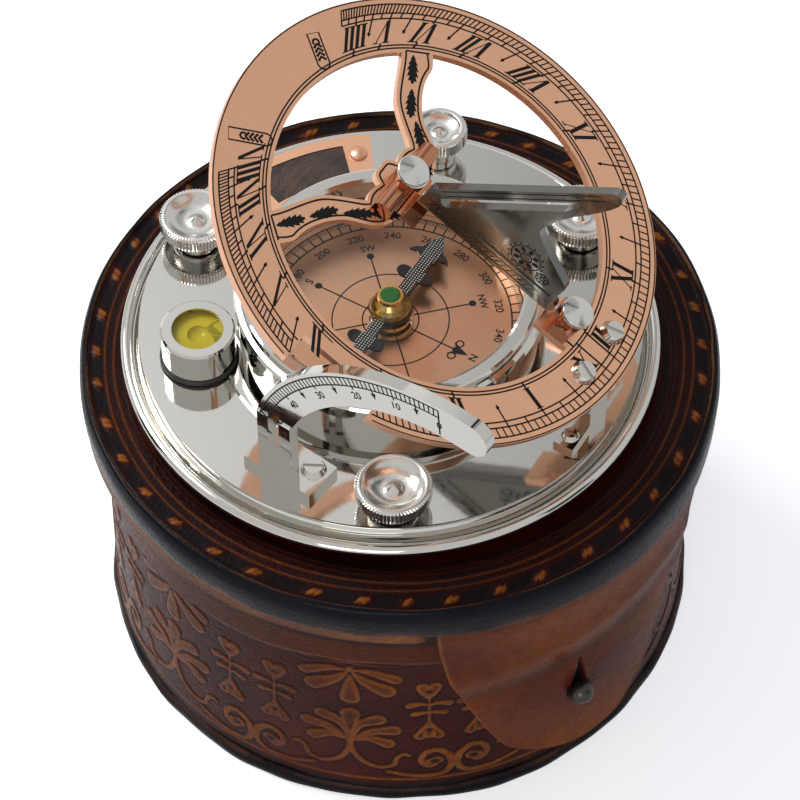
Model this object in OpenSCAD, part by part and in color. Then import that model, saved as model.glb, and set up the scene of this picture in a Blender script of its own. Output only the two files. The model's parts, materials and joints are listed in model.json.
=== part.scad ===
// Universal equinoctial sundial compass standing on its round leather case.
// Millimetres, +Z up, +X towards the noon side, origin under the middle of the case.
// Every mating piece is derived from the same named sizes plus a named clearance.

/* [Case] */
// outside diameter of the lid without its binding
lid_d = 149.2; // [130:0.2:192]
// how much wider the case body is at its bottom than at its top, on each side
case_taper = 2; // [0:0.1:5]
// height of the case body
case_body_h = 80; // [50:0.5:120]
// wall of the case body
case_wall = 4; // [2.5:0.1:6]
// floor of the case body
case_floor = 5; // [3:0.1:8]
// thickness of the side of the lid
lid_wall = 4.35; // [2.5:0.05:6]
// thickness of the top of the lid
lid_top_t = 5; // [3:0.1:8]
// how far the side of the lid reaches down over the body
lid_lap = 6; // [3:0.1:14]
// radial gap between the lid and the body
lid_gap = 0.5; // [0.3:0.05:1.2]
// thickness of the black binding leather
binding_t = 0.7; // [0.4:0.05:1.5]
// how far the binding comes down the side of the lid
binding_side = 5; // [3:0.1:8]
// how far the binding lies on top of the lid
binding_top = 4; // [2:0.1:8]
// height of the black edge round the bottom of the case
edge_h = 3.5; // [2:0.1:8]
// gap left where two bodies only rest on each other
seat_gap = 0.05; // [0.02:0.01:0.1]

/* [Closing flap] */
// direction of the middle of the flap
flap_angle = -23.5; // [-180:0.5:180]
// half of the width of the flap
flap_half_w = 37; // [20:0.5:55]
// thickness of the flap leather
flap_t = 1.7; // [1:0.1:3]
// height at which the rounded lower part of the flap begins
flap_round_z = 70; // [40:0.5:100]
// height of the lowest point of the flap
flap_low_z = 8; // [4:0.5:40]
// how far the flap leans in towards the body at the stud
flap_lean = 1.6; // [0:0.1:3]
// direction of the stud
stud_angle = -24.5; // [-180:0.5:180]
// height of the stud
stud_z = 33; // [15:0.5:60]
// diameter of the ball of the stud
stud_ball_d = 5.8; // [4:0.1:9]
// diameter of the neck of the stud
stud_neck_d = 3; // [2:0.1:5]
// height of the slit above the stud
slit_h = 13; // [6:0.5:24]

/* [Base plate] */
// sideways place of the instrument on the lid
inst_x = -1.7; // [-4:0.1:4]
// place of the instrument on the lid across the noon line
inst_y = -1.0; // [-4:0.1:4]
// diameter of the base plate over its bead
plate_d = 127; // [110:0.5:150]
// diameter of the flat top of the base plate
flat_d = 117.8; // [100:0.5:140]
// thickness of the base plate
plate_t = 2.5; // [1.5:0.1:4]
// height of the underside of the base plate above the lid
plate_stand = 7.45; // [6.5:0.05:12]
// diameter of the wire of the bead round the plate
bead_d = 3; // [2:0.1:4]
// height of the bottom of the bead above the lid
bead_stand = 4.4; // [3:0.1:8]

/* [Compass] */
// outside diameter of the bezel
bezel_d = 72.8; // [64:0.2:80]
// thickness of the bezel round the bowl
bezel_wall = 1.4; // [1:0.1:2]
// wall of the compass bowl
bowl_wall = 1.8; // [1.2:0.1:3]
// height of the bowl above the plate
bowl_h = 12.2; // [9:0.1:18]
// floor of the bowl
bowl_floor = 1.6; // [1:0.1:2.4]
// how deep the bowl is let into the plate
bowl_sink = 2; // [0.5:0.1:2.4]
// width of the flange of the bowl outside the bezel
flange_w = 4.6; // [2:0.1:8]
// thickness of the flange of the bowl
flange_t = 1; // [0.6:0.1:2]
// thickness of the compass card
card_t = 1.2; // [0.6:0.1:2]
// thickness of the compass glass
glass_t = 1.8; // [1:0.1:3]
// width of the bezel round the clear glass
bezel_rim = 5.4; // [3:0.1:8]
// height of the skirt of the bezel below the glass
bezel_skirt = 4.2; // [2:0.1:8]
// thickness of the lip of the bezel over the glass
bezel_lip = 1; // [0.6:0.1:2]
// radial gap round the glass and the card
loose_fit = 0.1; // [0.05:0.05:0.3]

/* [Compass needle] */
// direction of the north end of the needle
needle_angle = 90.5; // [0:0.5:360]
// length of the needle
needle_len = 50; // [30:0.5:58]
// width of the shaft of the needle
needle_w = 2.9; // [2:0.1:5]
// thickness of the needle
needle_t = 0.8; // [0.4:0.1:1.5]
// height of the needle above the card
needle_up = 3.9; // [3:0.1:5]
// diameter of the foot of the needle cap
cap_d = 9.8; // [6:0.1:14]
// height of the cap above the needle
cap_h = 4.4; // [3:0.1:6]
// diameter of the jewel in the cap
jewel_d = 4.8; // [3:0.1:6]
// diameter of the pivot post
pivot_d = 2.4; // [1.6:0.1:3]

/* [Level] */
// gap between the level and the bezel
level_gap = 0.4; // [0.3:0.1:4]
// direction of the level
level_angle = -136; // [-180:0.5:180]
// outside diameter of the level cup
level_d = 17.4; // [12:0.1:20]
// height of the level above the plate
level_h = 10.2; // [6:0.1:16]
// wire diameter of the rubber ring at its foot
seal_d = 1.6; // [1:0.1:2.5]
// clear window of the level
level_window_d = 12; // [8:0.1:15]
// thickness of the level glass
level_glass_t = 1.2; // [0.8:0.1:2]
// length of the bubble across
bubble_d = 5; // [2:0.1:7]

/* [Blank plaque] */
// first edge of the plaque
plaque_from = 126; // [100:0.5:170]
// last edge of the plaque
plaque_to = 165; // [120:0.5:175]
// outer radius of the plaque
plaque_outer_r = 58.3; // [50:0.1:62]
// gap between the plaque and the flange of the bowl
plaque_gap = 1; // [0.5:0.1:3]
// thickness of the plaque
plaque_t = 0.9; // [0.5:0.1:2]
// width of its raised border
plaque_border = 2.8; // [1:0.1:4]
// depth of the sunk field
plaque_sink = 0.3; // [0.1:0.05:0.6]
// diameter of the rivets
rivet_d = 4.5; // [2:0.1:6]

/* [Levellers] */
// distance of the levellers from the middle of the plate
leveller_at = 52.8; // [46:0.1:56]
// turn of the three levellers away from the noon line
leveller_turn = 1.7; // [-5:0.1:5]
// diameter of the leveller knobs
knob_d = 17.5; // [12:0.1:22]
// height of the knurled head
knob_head_h = 4; // [2:0.1:7]
// diameter of the hub under the head
knob_hub_d = 12; // [8:0.1:15]
// height of the hub
knob_hub_h = 2.8; // [1.5:0.1:6]
// depth of the dish in the head
knob_dish = 2.2; // [1:0.1:3]
// diameter of the levelling rods
rod_d = 4.8; // [3:0.1:6]
// diameter of the feet
foot_d = 9; // [6:0.1:12]
// height of the feet
foot_h = 3.1; // [2:0.1:5]
// travel of the levellers
leveller_travel = 3.8; // [2:0.1:6]
// radial running clearance of rods and pins
run_gap = 0.06; // [0.03:0.01:0.1]
// thickness of the flange of the bushes
bush_flange = 1; // [0.5:0.1:2]
// gap between a knob at its lowest and its bush
knob_gap = 0.5; // [0.3:0.05:1]

/* [Needle clamp] */
// distance of the clamp from the middle of the plate
clamp_at = 53.3; // [48:0.1:56]
// direction of the clamp
clamp_angle = 108.3; // [90:0.1:130]
// diameter of the clamp knob
clamp_knob_d = 13.7; // [10:0.1:18]
// height of the clamp knob above the plate
clamp_knob_h = 10.2; // [7:0.1:15]
// height of its knurled head
clamp_head_h = 4.2; // [2:0.1:6]
// diameter of the clamp screw
clamp_rod_d = 3.2; // [2:0.1:5]
// axial play of the clamp screw in its bush
clamp_play = 0.3; // [0.2:0.05:0.6]
// outside diameter of the nut in the lever
nut_d = 5.2; // [4.4:0.1:6]
// distance of the lever fulcrum from the bowl
fulcrum_gap = 5; // [3:0.1:8]
// width of the lifter lever
lever_w = 5; // [3:0.1:7]
// thickness of the lifter lever
lever_t = 1.4; // [1:0.1:2]
// height of the underside of the lever above the lid
lever_stand = 4.3; // [3:0.1:6]
// how far the lifter collar rises
lift = 1.1; // [0.5:0.1:1.4]
// diameter of the lever pin
lever_pin_d = 1; // [0.8:0.1:1.6]

/* [Hour ring] */
// tilt of the ring above the plate as photographed
ring_tilt = 27.84; // [0:0.01:60]
// outside diameter of the hour ring
ring_d = 108; // [90:0.1:112]
// inside diameter of the hour ring
ring_bore_d = 80.8; // [60:0.1:90]
// thickness of the ring
ring_t = 2; // [1:0.1:3]
// distance of the straight side of the notch from the noon line
notch_at = 46; // [40:0.1:50]
// end of the notch towards the south
notch_from = -7.5; // [-20:0.1:0]
// end of the notch towards noon
notch_to = 14; // [5:0.1:25]
// distance of the hinge axis from the middle of the ring
hinge_reach = 50.2; // [46:0.01:54]
// depth of the hinge axis below the face of the ring
hinge_drop = 7; // [5:0.1:10]
// height of the hinge axis above the plate
hinge_up = 15.56; // [12:0.01:24]
// distance of the hinge axis from the middle of the plate
hinge_at = 54; // [50:0.1:56]
// thickness of the hinge post
post_t = 2.6; // [1.5:0.1:4]
// width of the hinge post
post_w = 8; // [5:0.1:12]
// length of its foot strip
post_foot_w = 24; // [18:0.1:30]
// thickness of its foot strip
post_foot_t = 1.6; // [1:0.1:3]
// depth of its foot strip
post_foot_l = 5; // [4:0.1:8]
// distance of its screws from the ends of the strip
post_screw_in = 3.4; // [2.5:0.1:5]
// diameter of its screws
post_screw_d = 2.6; // [2:0.1:3]
// diameter of the hinge pin
hinge_pin_d = 2.4; // [1.5:0.1:3]
// outside diameter of the hinge knuckle
knuckle_d = 6.4; // [4:0.1:8]
// width of the hinge block under the ring
block_w = 18; // [14:0.1:24]
// depth of the hinge block below the ring
block_h = 8; // [5:0.1:11]
// gap between hinged faces
hinge_gap = 0.3; // [0.2:0.05:0.6]
// distance of the ring screws from the middle of the ring
ring_screw_at = 46.6; // [42:0.1:50]
// distance of the ring screws from the noon line
ring_screw_y = 6.6; // [5:0.1:9]
// diameter of the ring screw heads
ring_screw_d = 6; // [4:0.1:7]

/* [Gnomon] */
// height of the gnomon pivots above the ring
pivot_up = 3; // [2.5:0.1:5]
// thickness of the gnomon
gnomon_t = 2.2; // [1.6:0.1:4]
// angle between the style and the ring
style_angle = 56.6; // [40:0.1:75]
// height of the style above the ring at its south end
style_low = 7.3; // [5:0.1:12]
// place of the south end of the gnomon along the noon line
gnomon_south = -6.2; // [-9:0.1:-3]
// place of the north end of the gnomon
gnomon_north = 32.3; // [28:0.1:34]
// height of the tip of the style above the ring
style_tip = 50.4; // [40:0.1:60]
// height of the lower edge of the gnomon above the ring
gnomon_low = 0.8; // [0.6:0.1:2]
// depth of the sunk field and the groove of the gnomon
gnomon_sink = 0.3; // [0.1:0.05:0.5]
// diameter of the pivot pins
pivot_pin_d = 1.2; // [1:0.1:1.4]
// diameter of the heads of the clamp screws
clamp_head_d = 7.6; // [5:0.1:9]
// height of the underside of those heads above the ring
clamp_head_up = 5.9; // [5:0.1:8]
// thickness of the style outside its slot
style_t = 2.8; // [2:0.1:4]
// width of the slot behind the style
style_slot = 2.6; // [1:0.1:4]
// place of the inner corner of the gnomon along the noon line
corner_x = 17.1; // [14:0.1:20]
// height of that corner above the ring
corner_h = 22.6; // [18:0.1:27]
// place of the upright north edge of the gnomon
heel_x = 30.6; // [28:0.1:32]
// height of the top of that edge above the ring
heel_h = 11.8; // [8:0.1:15]
// width of the raised rim of the gnomon
gnomon_rim = 1; // [0.5:0.1:2]
// diameter of the bracket posts
bracket_post_d = 6.6; // [5:0.1:8]
// diameter of the cross bars of the brackets
barrel_d = 4.6; // [3:0.1:6]
// length of the bar of the south bracket
barrel_l = 20.8; // [12:0.1:22]
// place of the south bar along the noon line
south_barrel_x = -11.1; // [-13:0.1:-9]
// place of the north bar along the noon line
north_barrel_x = 36.6; // [35:0.1:38]
// width of the step below the south end of the gnomon
lip_w = 11.6; // [8:0.1:14]
// end of that step towards noon
lip_x = -2.9; // [-5:0.1:-1]
// width of the tongue of the ring under the north bracket
tongue_w = 9.4; // [8:0.1:14]
// end of the tongue towards the middle of the ring
tongue_x = 31.2; // [28:0.1:34]

/* [Latitude arc] */
// turn of the arc foot on its screw
arc_turn = 6.5; // [0:0.1:15]
// place of the arc foot along the noon line
arc_x = 1.0; // [-5:0.1:8]
// distance of the outer face of the arc from the noon line
arc_y = 52; // [48:0.1:55]
// thickness of the arc
arc_t = 2.8; // [2:0.1:4]
// place of the middle of the arc circle along the arc
arc_mid = 49.9; // [40:0.1:60]
// height of the middle of the arc circle above the plate
arc_mid_up = 4.8; // [0:0.1:12]
// radius of the line under the scale
arc_r = 53.9; // [45:0.1:65]
// width of the arc inside that line
arc_in = 5.9; // [3:0.1:8]
// width of the arc outside that line
arc_out = 3.3; // [2:0.1:6]
// direction of the tip of the arc as seen from the middle of its circle
arc_tip_angle = 86.5; // [70:0.5:100]
// width of the leg
leg_w = 9.3; // [7:0.1:14]
// height of the leg above the plate
leg_h = 22.7; // [15:0.1:32]
// width of the slot in the leg
slot_w = 3; // [2:0.1:5]
// depth of the slot
slot_h = 9.7; // [6:0.1:14]
// gap on each side of the tail of the arc in the slot
slot_gap = 0.2; // [0.1:0.05:0.4]
// diameter of the arc pin
arc_pin_d = 1.2; // [0.8:0.1:1.6]
// thickness of the pad of the foot
pad_t = 2.5; // [1.5:0.1:4]
// length of the pad along the arc
pad_l = 18.8; // [12:0.1:24]
// how far the pad reaches to the south of the leg
pad_back = 8.4; // [5:0.1:12]
// depth of the pad
pad_w = 10.1; // [6:0.1:14]
// place of its screw along the arc
pad_screw_x = 6.5; // [4:0.1:9]
// distance of its screw from the face of the arc
pad_screw_y = 5.6; // [4:0.1:8]
// diameter of the shank of its screw
pad_shank_d = 2.8; // [2:0.1:4]
// diameter of its screw head
pad_screw_d = 6; // [4:0.1:7]

/* [Hidden] */
$fn = 72;
lid_r = lid_d / 2;
lid_bore_r = lid_r - lid_wall;
case_top_r = lid_bore_r - lid_gap - case_taper * lid_lap / case_body_h;
case_bottom_r = case_top_r + case_taper;
lid_low = case_body_h - lid_lap;
lid_under = case_body_h + seat_gap;
lid_z = lid_under + lid_top_t;
plate_low = lid_z + plate_stand;
plate_z = plate_low + plate_t;
bead_z = lid_z + bead_stand;
flat_r = flat_d / 2;
bowl_r = bezel_d / 2 - bezel_wall;
window_r = bezel_d / 2 - bezel_rim;
flange_r = bezel_d / 2 + flange_w;
level_at = bezel_d / 2 + level_gap + level_d / 2;
plaque_inner_r = flange_r + plaque_gap;
fulcrum_at = bowl_r + fulcrum_gap;
bowl_low = plate_z - bowl_sink;
card_low = bowl_low + bowl_floor;
card_z = card_low + card_t;
glass_low = plate_z + bowl_h;
glass_z = glass_low + glass_t;
glass_r = bowl_r - 0.6;
needle_low = card_z + needle_up;
needle_top = needle_low + needle_t;
spigot_low = needle_low - 0.5;
cap_top = needle_top + cap_h;
bearing_z = cap_top - 1.8;
level_r = level_d / 2;
level_floor = plate_z + 2.5;
level_top = plate_z + level_h;
level_glass_low = level_top - 0.8 - level_glass_t;
level_bore_r = level_window_d / 2 + 0.8;
knob_low = plate_z + bush_flange + knob_gap;
knob_top = knob_low + knob_hub_h + knob_head_h;
foot_low = lid_z + seat_gap;
rod_low = foot_low + 1.3;
leveller_dirs = [180 + leveller_turn, 60 + leveller_turn, -60 + leveller_turn];
bowl_screw_dirs = [clamp_angle - 60, clamp_angle + 60, clamp_angle + 180];
bowl_screw_at = bowl_r + 3;
bowl_screw_d = 2.4;
post_screw_x = hinge_at + (post_t - post_foot_l) / 2;
post_screw_y = post_foot_w / 2 - post_screw_in;
clamp_top = plate_z + clamp_knob_h;
clamp_low = plate_z + bush_flange + clamp_play;
lever_low = lid_z + lever_stand;
lever_z = lever_low + lever_t;
stop_t = 0.8;
stop_low = plate_low - clamp_play - stop_t;
nut_low = lever_low - 0.6;
nut_lip = 0.3;
fork_y = 3.4;
collar_low = card_z + 0.9;
collar_t = 1.2;
lever_pin_z = lever_low + lever_t / 2;
hinge_z = plate_z + hinge_up;
ear_gap = 0.3;
ear_t = 3.2;
ear_w = 5;
ear_top = 5;
south_ear_x = gnomon_south - ear_gap;
north_ear_x = gnomon_north + ear_gap;
lip_wall = 0.7;
lip_t = 1.1;
crown_x = south_ear_x - lip_wall;
bracket_shank_d = 2.6;
tan_style = tan(style_angle);
pin_grip = 4;
arc_mid_z = plate_z + arc_mid_up;
leg_top = plate_z + leg_h;
arc_pin_z = leg_top - arc_t / 2;
screw_slot = 0.8;

// a cylinder whose middle line lies along +X
module bar_x(r, l) {
  rotate([0, 90, 0]) cylinder(r = r, h = l);
}

// a cylinder centred on the origin along Y
module bar_y(r, l) {
  rotate([90, 0, 0]) cylinder(r = r, h = l, center = true);
}

// everything that stands on the lid
module on_lid() {
  translate([inst_x, inst_y, 0]) children();
}

// a place on the base plate given by direction and distance
module at_plate(dir, dist) {
  on_lid() rotate([0, 0, dir]) translate([dist, 0, 0]) children();
}

// the frame of the hour ring: x to noon, z square to its face, origin in the middle of the face
module in_ring() {
  on_lid() translate([hinge_at, 0, hinge_z]) rotate([0, ring_tilt, 0])
    translate([-hinge_reach, 0, hinge_drop]) children();
}

// the frame of the latitude arc: x along it, y inwards, origin on its outer face over the plate
module in_arc() {
  on_lid() translate([arc_x, -arc_y, 0]) rotate([0, 0, -arc_turn]) children();
}

// a slotted screw standing on z = 0 with its shank going down
module slotted_screw(head_d, head_h, shank_d, shank_l) {
  difference() {
    union() {
      cylinder(d1 = head_d, d2 = head_d * 0.72, h = head_h);
      translate([0, 0, -shank_l]) cylinder(d = shank_d, h = shank_l + 0.1);
    }
    translate([-head_d, -screw_slot / 2, head_h - 0.8]) cube([head_d * 2, screw_slot, 2]);
  }
}

// case

module case_body() {
  color("saddlebrown") difference() {
    rotate_extrude() polygon([
      [0, 0], [case_bottom_r, 0], [case_top_r, case_body_h], [case_top_r - case_wall, case_body_h],
      [case_bottom_r - case_wall, case_floor], [0, case_floor]
    ]);
    rotate([0, 0, stud_angle]) translate([case_top_r - case_wall - 1, 0, stud_z]) bar_x(stud_neck_d / 2, 10);
  }
}

module case_bottom_edge() {
  slope = (case_bottom_r - case_top_r) / case_body_h;
  color("black") rotate_extrude() polygon([
    [case_bottom_r, 0], [case_bottom_r + binding_t, 0], [case_bottom_r + binding_t, edge_h - 0.6],
    [case_bottom_r - slope * edge_h + 0.2, edge_h], [case_bottom_r - slope * edge_h, edge_h]
  ]);
}

module flap_stud() {
  r0 = case_top_r - case_wall;
  ball_x = lid_r + flap_t - flap_lean + 1.4;
  color("dimgray") rotate([0, 0, stud_angle]) translate([0, 0, stud_z]) {
    translate([r0, 0, 0]) bar_x(stud_neck_d / 2, ball_x - r0);
    translate([ball_x, 0, 0]) sphere(d = stud_ball_d);
  }
}

module case_lid() {
  color("saddlebrown") rotate_extrude() polygon([
    [0, lid_under], [lid_bore_r, lid_under], [lid_bore_r, lid_low], [lid_r, lid_low], [lid_r, lid_z], [0, lid_z]
  ]);
}

module lid_binding() {
  t = binding_t;
  color("black") rotate_extrude() polygon([
    [lid_r, lid_z - binding_side], [lid_r + t * 0.6, lid_z - binding_side],
    [lid_r + t, lid_z - binding_side + 0.5],
    [lid_r + t, lid_z - 0.4], [lid_r + t * 0.6, lid_z + t * 0.6], [lid_r - 0.4, lid_z + t],
    [lid_r - binding_top + 0.5, lid_z + t], [lid_r - binding_top, lid_z + t * 0.5],
    [lid_r - binding_top, lid_z], [lid_r, lid_z]
  ]);
}

// inner outline of the flap, from its low end up to the binding
function flap_in(z) =
  lid_r - flap_lean * sin(min(180, max(0, (lid_low - z) * 180 / (lid_low - flap_low_z))));

module closing_flap() {
  top = lid_z - binding_side;
  zs = concat([for (i = [0:12]) flap_low_z + i * (lid_low - flap_low_z) / 12], [top]);
  inner = [for (z = zs) [flap_in(z), z]];
  outer = [for (i = [len(zs) - 1:-1:0]) [flap_in(zs[i]) + flap_t, zs[i]]];
  span = 2 * asin(flap_half_w / lid_r) + 8;
  color("sienna") intersection() {
    rotate([0, 0, flap_angle - span / 2]) rotate_extrude(angle = span) polygon(concat(inner, outer));
    difference() {
      rotate([0, 0, flap_angle]) rotate([90, 0, 90]) linear_extrude(lid_r + 20) union() {
        translate([0, flap_round_z]) scale([1, (flap_round_z - flap_low_z) / flap_half_w]) circle(flap_half_w);
        translate([-flap_half_w, flap_round_z]) square([2 * flap_half_w, 40]);
      }
      rotate([0, 0, stud_angle]) translate([0, 0, stud_z]) rotate([90, 0, 90])
        linear_extrude(lid_r + 20) union() {
        circle(d = stud_neck_d + 2.4);
        polygon([[-stud_neck_d / 2 - 1, 0], [stud_neck_d / 2 + 1, 0], [0.25, slit_h], [-0.25, slit_h]]);
      }
    }
  }
}

// base plate and compass
module plate_hole(d) {
  translate([0, 0, plate_low - 1]) cylinder(d = d, h = plate_t + 2);
}

module base_plate() {
  bead_r = bead_d / 2;
  rim_r = plate_d / 2;
  color("silver") difference() {
    on_lid() rotate_extrude() union() {
      polygon([
        [0, plate_low], [flat_r - 1.6, plate_low], [flat_r - 0.9, bead_z], [rim_r - bead_r, bead_z],
        [rim_r - bead_r, bead_z + 1.1], [flat_r + 1.4, bead_z + 1.1], [flat_r + 0.6, plate_z - 2.4],
        [flat_r + 0.15, plate_z - 0.9], [flat_r, plate_z], [0, plate_z]
      ]);
      intersection() {
        translate([rim_r - bead_r, bead_z + bead_r * 0.75]) circle(bead_r);
        translate([rim_r - 2 * bead_r, bead_z]) square([3 * bead_r, 3 * bead_r]);
      }
    }
    on_lid() plate_hole(2 * bowl_r);
    for (a = leveller_dirs) at_plate(a, leveller_at) plate_hole(rod_d + 3);
    at_plate(clamp_angle, clamp_at) plate_hole(clamp_rod_d + 3);
    at_plate(level_angle, level_at) plate_hole(6);
    for (a = bowl_screw_dirs) at_plate(a, bowl_screw_at) plate_hole(bowl_screw_d);
    for (s = [-1, 1]) on_lid() translate([post_screw_x, s * post_screw_y, 0]) plate_hole(post_screw_d);
    in_arc() translate([pad_screw_x, pad_screw_y, 0]) plate_hole(pad_shank_d);
    for (a = rivet_dirs()) at_plate(a, rivet_at()) plate_hole(rivet_d / 2);
  }
}

module compass_bowl() {
  color("gainsboro") difference() {
    on_lid() union() {
      translate([0, 0, bowl_low]) difference() {
        cylinder(r = bowl_r, h = glass_low - bowl_low);
        translate([0, 0, bowl_floor]) cylinder(r = bowl_r - bowl_wall, h = 60);
      }
      translate([0, 0, plate_z]) difference() {
        cylinder(r = flange_r, h = flange_t);
        translate([0, 0, -1]) cylinder(r = bowl_r - 0.4, h = flange_t + 2);
      }
      translate([0, 0, bowl_low]) cylinder(d = pivot_d + 3, h = bowl_floor);
    }
    on_lid() translate([0, 0, bowl_low - 1]) cylinder(d = pivot_d, h = bowl_floor + 2);
    for (s = [-1, 1]) at_plate(clamp_angle, 0) translate([0, s * fork_y, bowl_low - 1])
      cylinder(d = 2.8, h = bowl_floor + 2);
    at_plate(level_angle, level_at) translate([0, 0, plate_z - 1])
      cylinder(r = level_r + seal_d / 2 + 0.3, h = flange_t + 2);
    for (a = bowl_screw_dirs) at_plate(a, bowl_screw_at) translate([0, 0, plate_z - 1])
      cylinder(d = bowl_screw_d, h = 1 + flange_t * 0.7);
  }
}

module bowl_screws() {
  color("silver") for (a = bowl_screw_dirs) at_plate(a, bowl_screw_at) {
    difference() {
      translate([0, 0, plate_low - 1]) cylinder(d = bowl_screw_d + 2, h = 1);
      translate([-3, -0.4, plate_low - 1.1]) cube([6, 0.8, 0.6]);
    }
    translate([0, 0, plate_low]) cylinder(d = bowl_screw_d, h = plate_t + flange_t * 0.6);
  }
}

module compass_card() {
  color("peru") difference() {
    on_lid() translate([0, 0, card_low]) cylinder(r = bowl_r - bowl_wall - loose_fit, h = card_t);
    on_lid() translate([0, 0, card_low - 1]) cylinder(r = fork_y + 1.7, h = card_t + 2);
  }
}

module compass_bezel() {
  r = bowl_r;
  zl = glass_low - bezel_skirt;
  color("gainsboro") on_lid() rotate_extrude() polygon([
    [r, zl], [bezel_d / 2 - 0.3, zl], [bezel_d / 2, zl + 0.4], [bezel_d / 2, glass_low - 0.4],
    [bezel_d / 2 - 0.5, glass_low + 0.3], [r - 0.1, glass_low + 0.7], [r - 0.3, glass_z + bezel_lip - 0.3],
    [r - 0.8, glass_z + bezel_lip], [window_r + 0.8, glass_z + bezel_lip],
    [window_r, glass_z + 0.4], [window_r, glass_z], [glass_r + loose_fit, glass_z],
    [glass_r + loose_fit, glass_low], [r, glass_low]
  ]);
}

module compass_glass() {
  color("lightcyan") on_lid() translate([0, 0, glass_low]) cylinder(r = glass_r, h = glass_t);
}

// needle

module needle_pivot() {
  color("lightsteelblue") on_lid() {
    translate([0, 0, bowl_low]) cylinder(d = pivot_d, h = collar_low - bowl_low);
    translate([0, 0, collar_low]) cylinder(d1 = pivot_d, d2 = 0.24, h = bearing_z - seat_gap - collar_low);
  }
}

module compass_needle() {
  hl = needle_len / 2;
  w = needle_w / 2;
  color([0.13, 0.13, 0.14]) on_lid() rotate([0, 0, needle_angle]) translate([0, 0, needle_low]) difference() {
    linear_extrude(needle_t) union() {
      circle(r = cap_d / 2 + 0.3);
      polygon([
        [-hl + 4, -w], [hl - 6, -w], [hl - 6, -w * 2.2], [hl, 0], [hl - 6, w * 2.2], [hl - 6, w], [-hl + 4, w]
      ]);
      for (s = [-1, 1]) translate([s * hl * 0.45, 0]) {
        translate([-1.6, -3.1]) square([3.2, 6.2]);
        translate([0, 3.1]) circle(r = 1.6);
        translate([0, -3.1]) circle(r = 1.6);
      }
      for (s = [-1, 1]) scale([1, s]) difference() {
        translate([hl * 0.66, 2.3]) circle(r = 3.1);
        translate([hl * 0.66 - 1.5, 4.1]) circle(r = 2.9);
      }
      for (s = [-1, 1]) scale([1, s]) difference() {
        translate([-hl * 0.76, 1.5]) circle(r = 3.2);
        translate([-hl * 0.76 - 1.4, 3.6]) circle(r = 2.6);
      }
      translate([-hl + 3, 0]) circle(r = 2.3);
    }
    translate([0, 0, -1]) cylinder(r = cap_d / 2 - 2, h = needle_t + 2);
    translate([-hl + 3, 0, -1]) cylinder(r = 0.9, h = needle_t + 2);
  }
}

module needle_cap() {
  r0 = cap_d / 2;
  rj = jewel_d / 2;
  hole = pivot_d / 2 + 0.9;
  color("goldenrod") on_lid() rotate_extrude() polygon([
    [hole, spigot_low], [r0 - 2, spigot_low], [r0 - 2, needle_top], [r0, needle_top],
    [r0, needle_top + 0.5], [r0 * 0.93, needle_top + 1.3], [r0 * 0.8, needle_top + cap_h * 0.55],
    [rj + 0.7, needle_top + cap_h * 0.8], [rj + 0.5, cap_top], [rj, cap_top], [rj, cap_top - 1.2],
    [0, cap_top - 1.2], [0, bearing_z], [0.3, bearing_z]
  ]);
}

module cap_jewel() {
  rj = jewel_d / 2;
  color("green") on_lid() translate([0, 0, cap_top - 1.2]) rotate_extrude() polygon([
    [0, 0], [rj, 0], [rj, 1.1], [rj * 0.75, 1.6], [0, 1.6]
  ]);
}

// level

module level_cup() {
  color("gainsboro") at_plate(level_angle, level_at) rotate_extrude() polygon([
    [0, plate_low], [3, plate_low], [3, plate_z], [level_r - 1, plate_z], [level_r - 1, plate_z + seal_d],
    [level_r - 0.3, plate_z + seal_d], [level_r, plate_z + seal_d + 0.3], [level_r, level_top - 0.5],
    [level_r - 0.5, level_top], [level_window_d / 2, level_top], [level_window_d / 2, level_top - 0.8],
    [level_bore_r, level_top - 0.8], [level_bore_r, level_floor], [0, level_floor]
  ]);
}

module level_seal() {
  color([0.1, 0.1, 0.1]) at_plate(level_angle, level_at) difference() {
    translate([0, 0, plate_z + seal_d / 2]) rotate_extrude()
      translate([level_r - 0.3, 0]) circle(d = seal_d);
    translate([0, 0, plate_z - 1]) cylinder(r = level_r - 1, h = seal_d + 2);
  }
}

module level_fluid() {
  color("greenyellow") at_plate(level_angle, level_at) difference() {
    translate([0, 0, level_floor]) cylinder(r = level_bore_r, h = level_glass_low - level_floor);
    translate([0, 0, level_glass_low]) scale([1, 1, 0.5]) sphere(d = bubble_d);
  }
}

module level_glass() {
  color("lightcyan") at_plate(level_angle, level_at) translate([0, 0, level_glass_low])
    cylinder(r = level_bore_r, h = level_glass_t);
}

// blank plaque

function rivet_at() = (plaque_outer_r + plaque_inner_r) / 2 + 2;
function rivet_dirs() = [plaque_from + 3.7, plaque_to - 3.7];

module plaque_shape(r0, r1, a0, a1, z, h) {
  on_lid() rotate([0, 0, a0]) rotate_extrude(angle = a1 - a0) translate([r0, z]) square([r1 - r0, h]);
}

module blank_plaque() {
  b = plaque_border;
  da = 2.6 * b / plaque_outer_r * 180 / PI;
  field_z = plate_z + plaque_t - plaque_sink;
  color("peru") difference() {
    plaque_shape(plaque_inner_r, plaque_outer_r, plaque_from, plaque_to, plate_z, plaque_t);
    plaque_shape(plaque_inner_r + b, plaque_outer_r - b, plaque_from + da, plaque_to - da, field_z, 3);
    for (a = rivet_dirs()) at_plate(a, rivet_at()) translate([0, 0, plate_z - 1])
      cylinder(d = rivet_d / 2, h = plaque_t + 2);
  }
}

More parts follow.
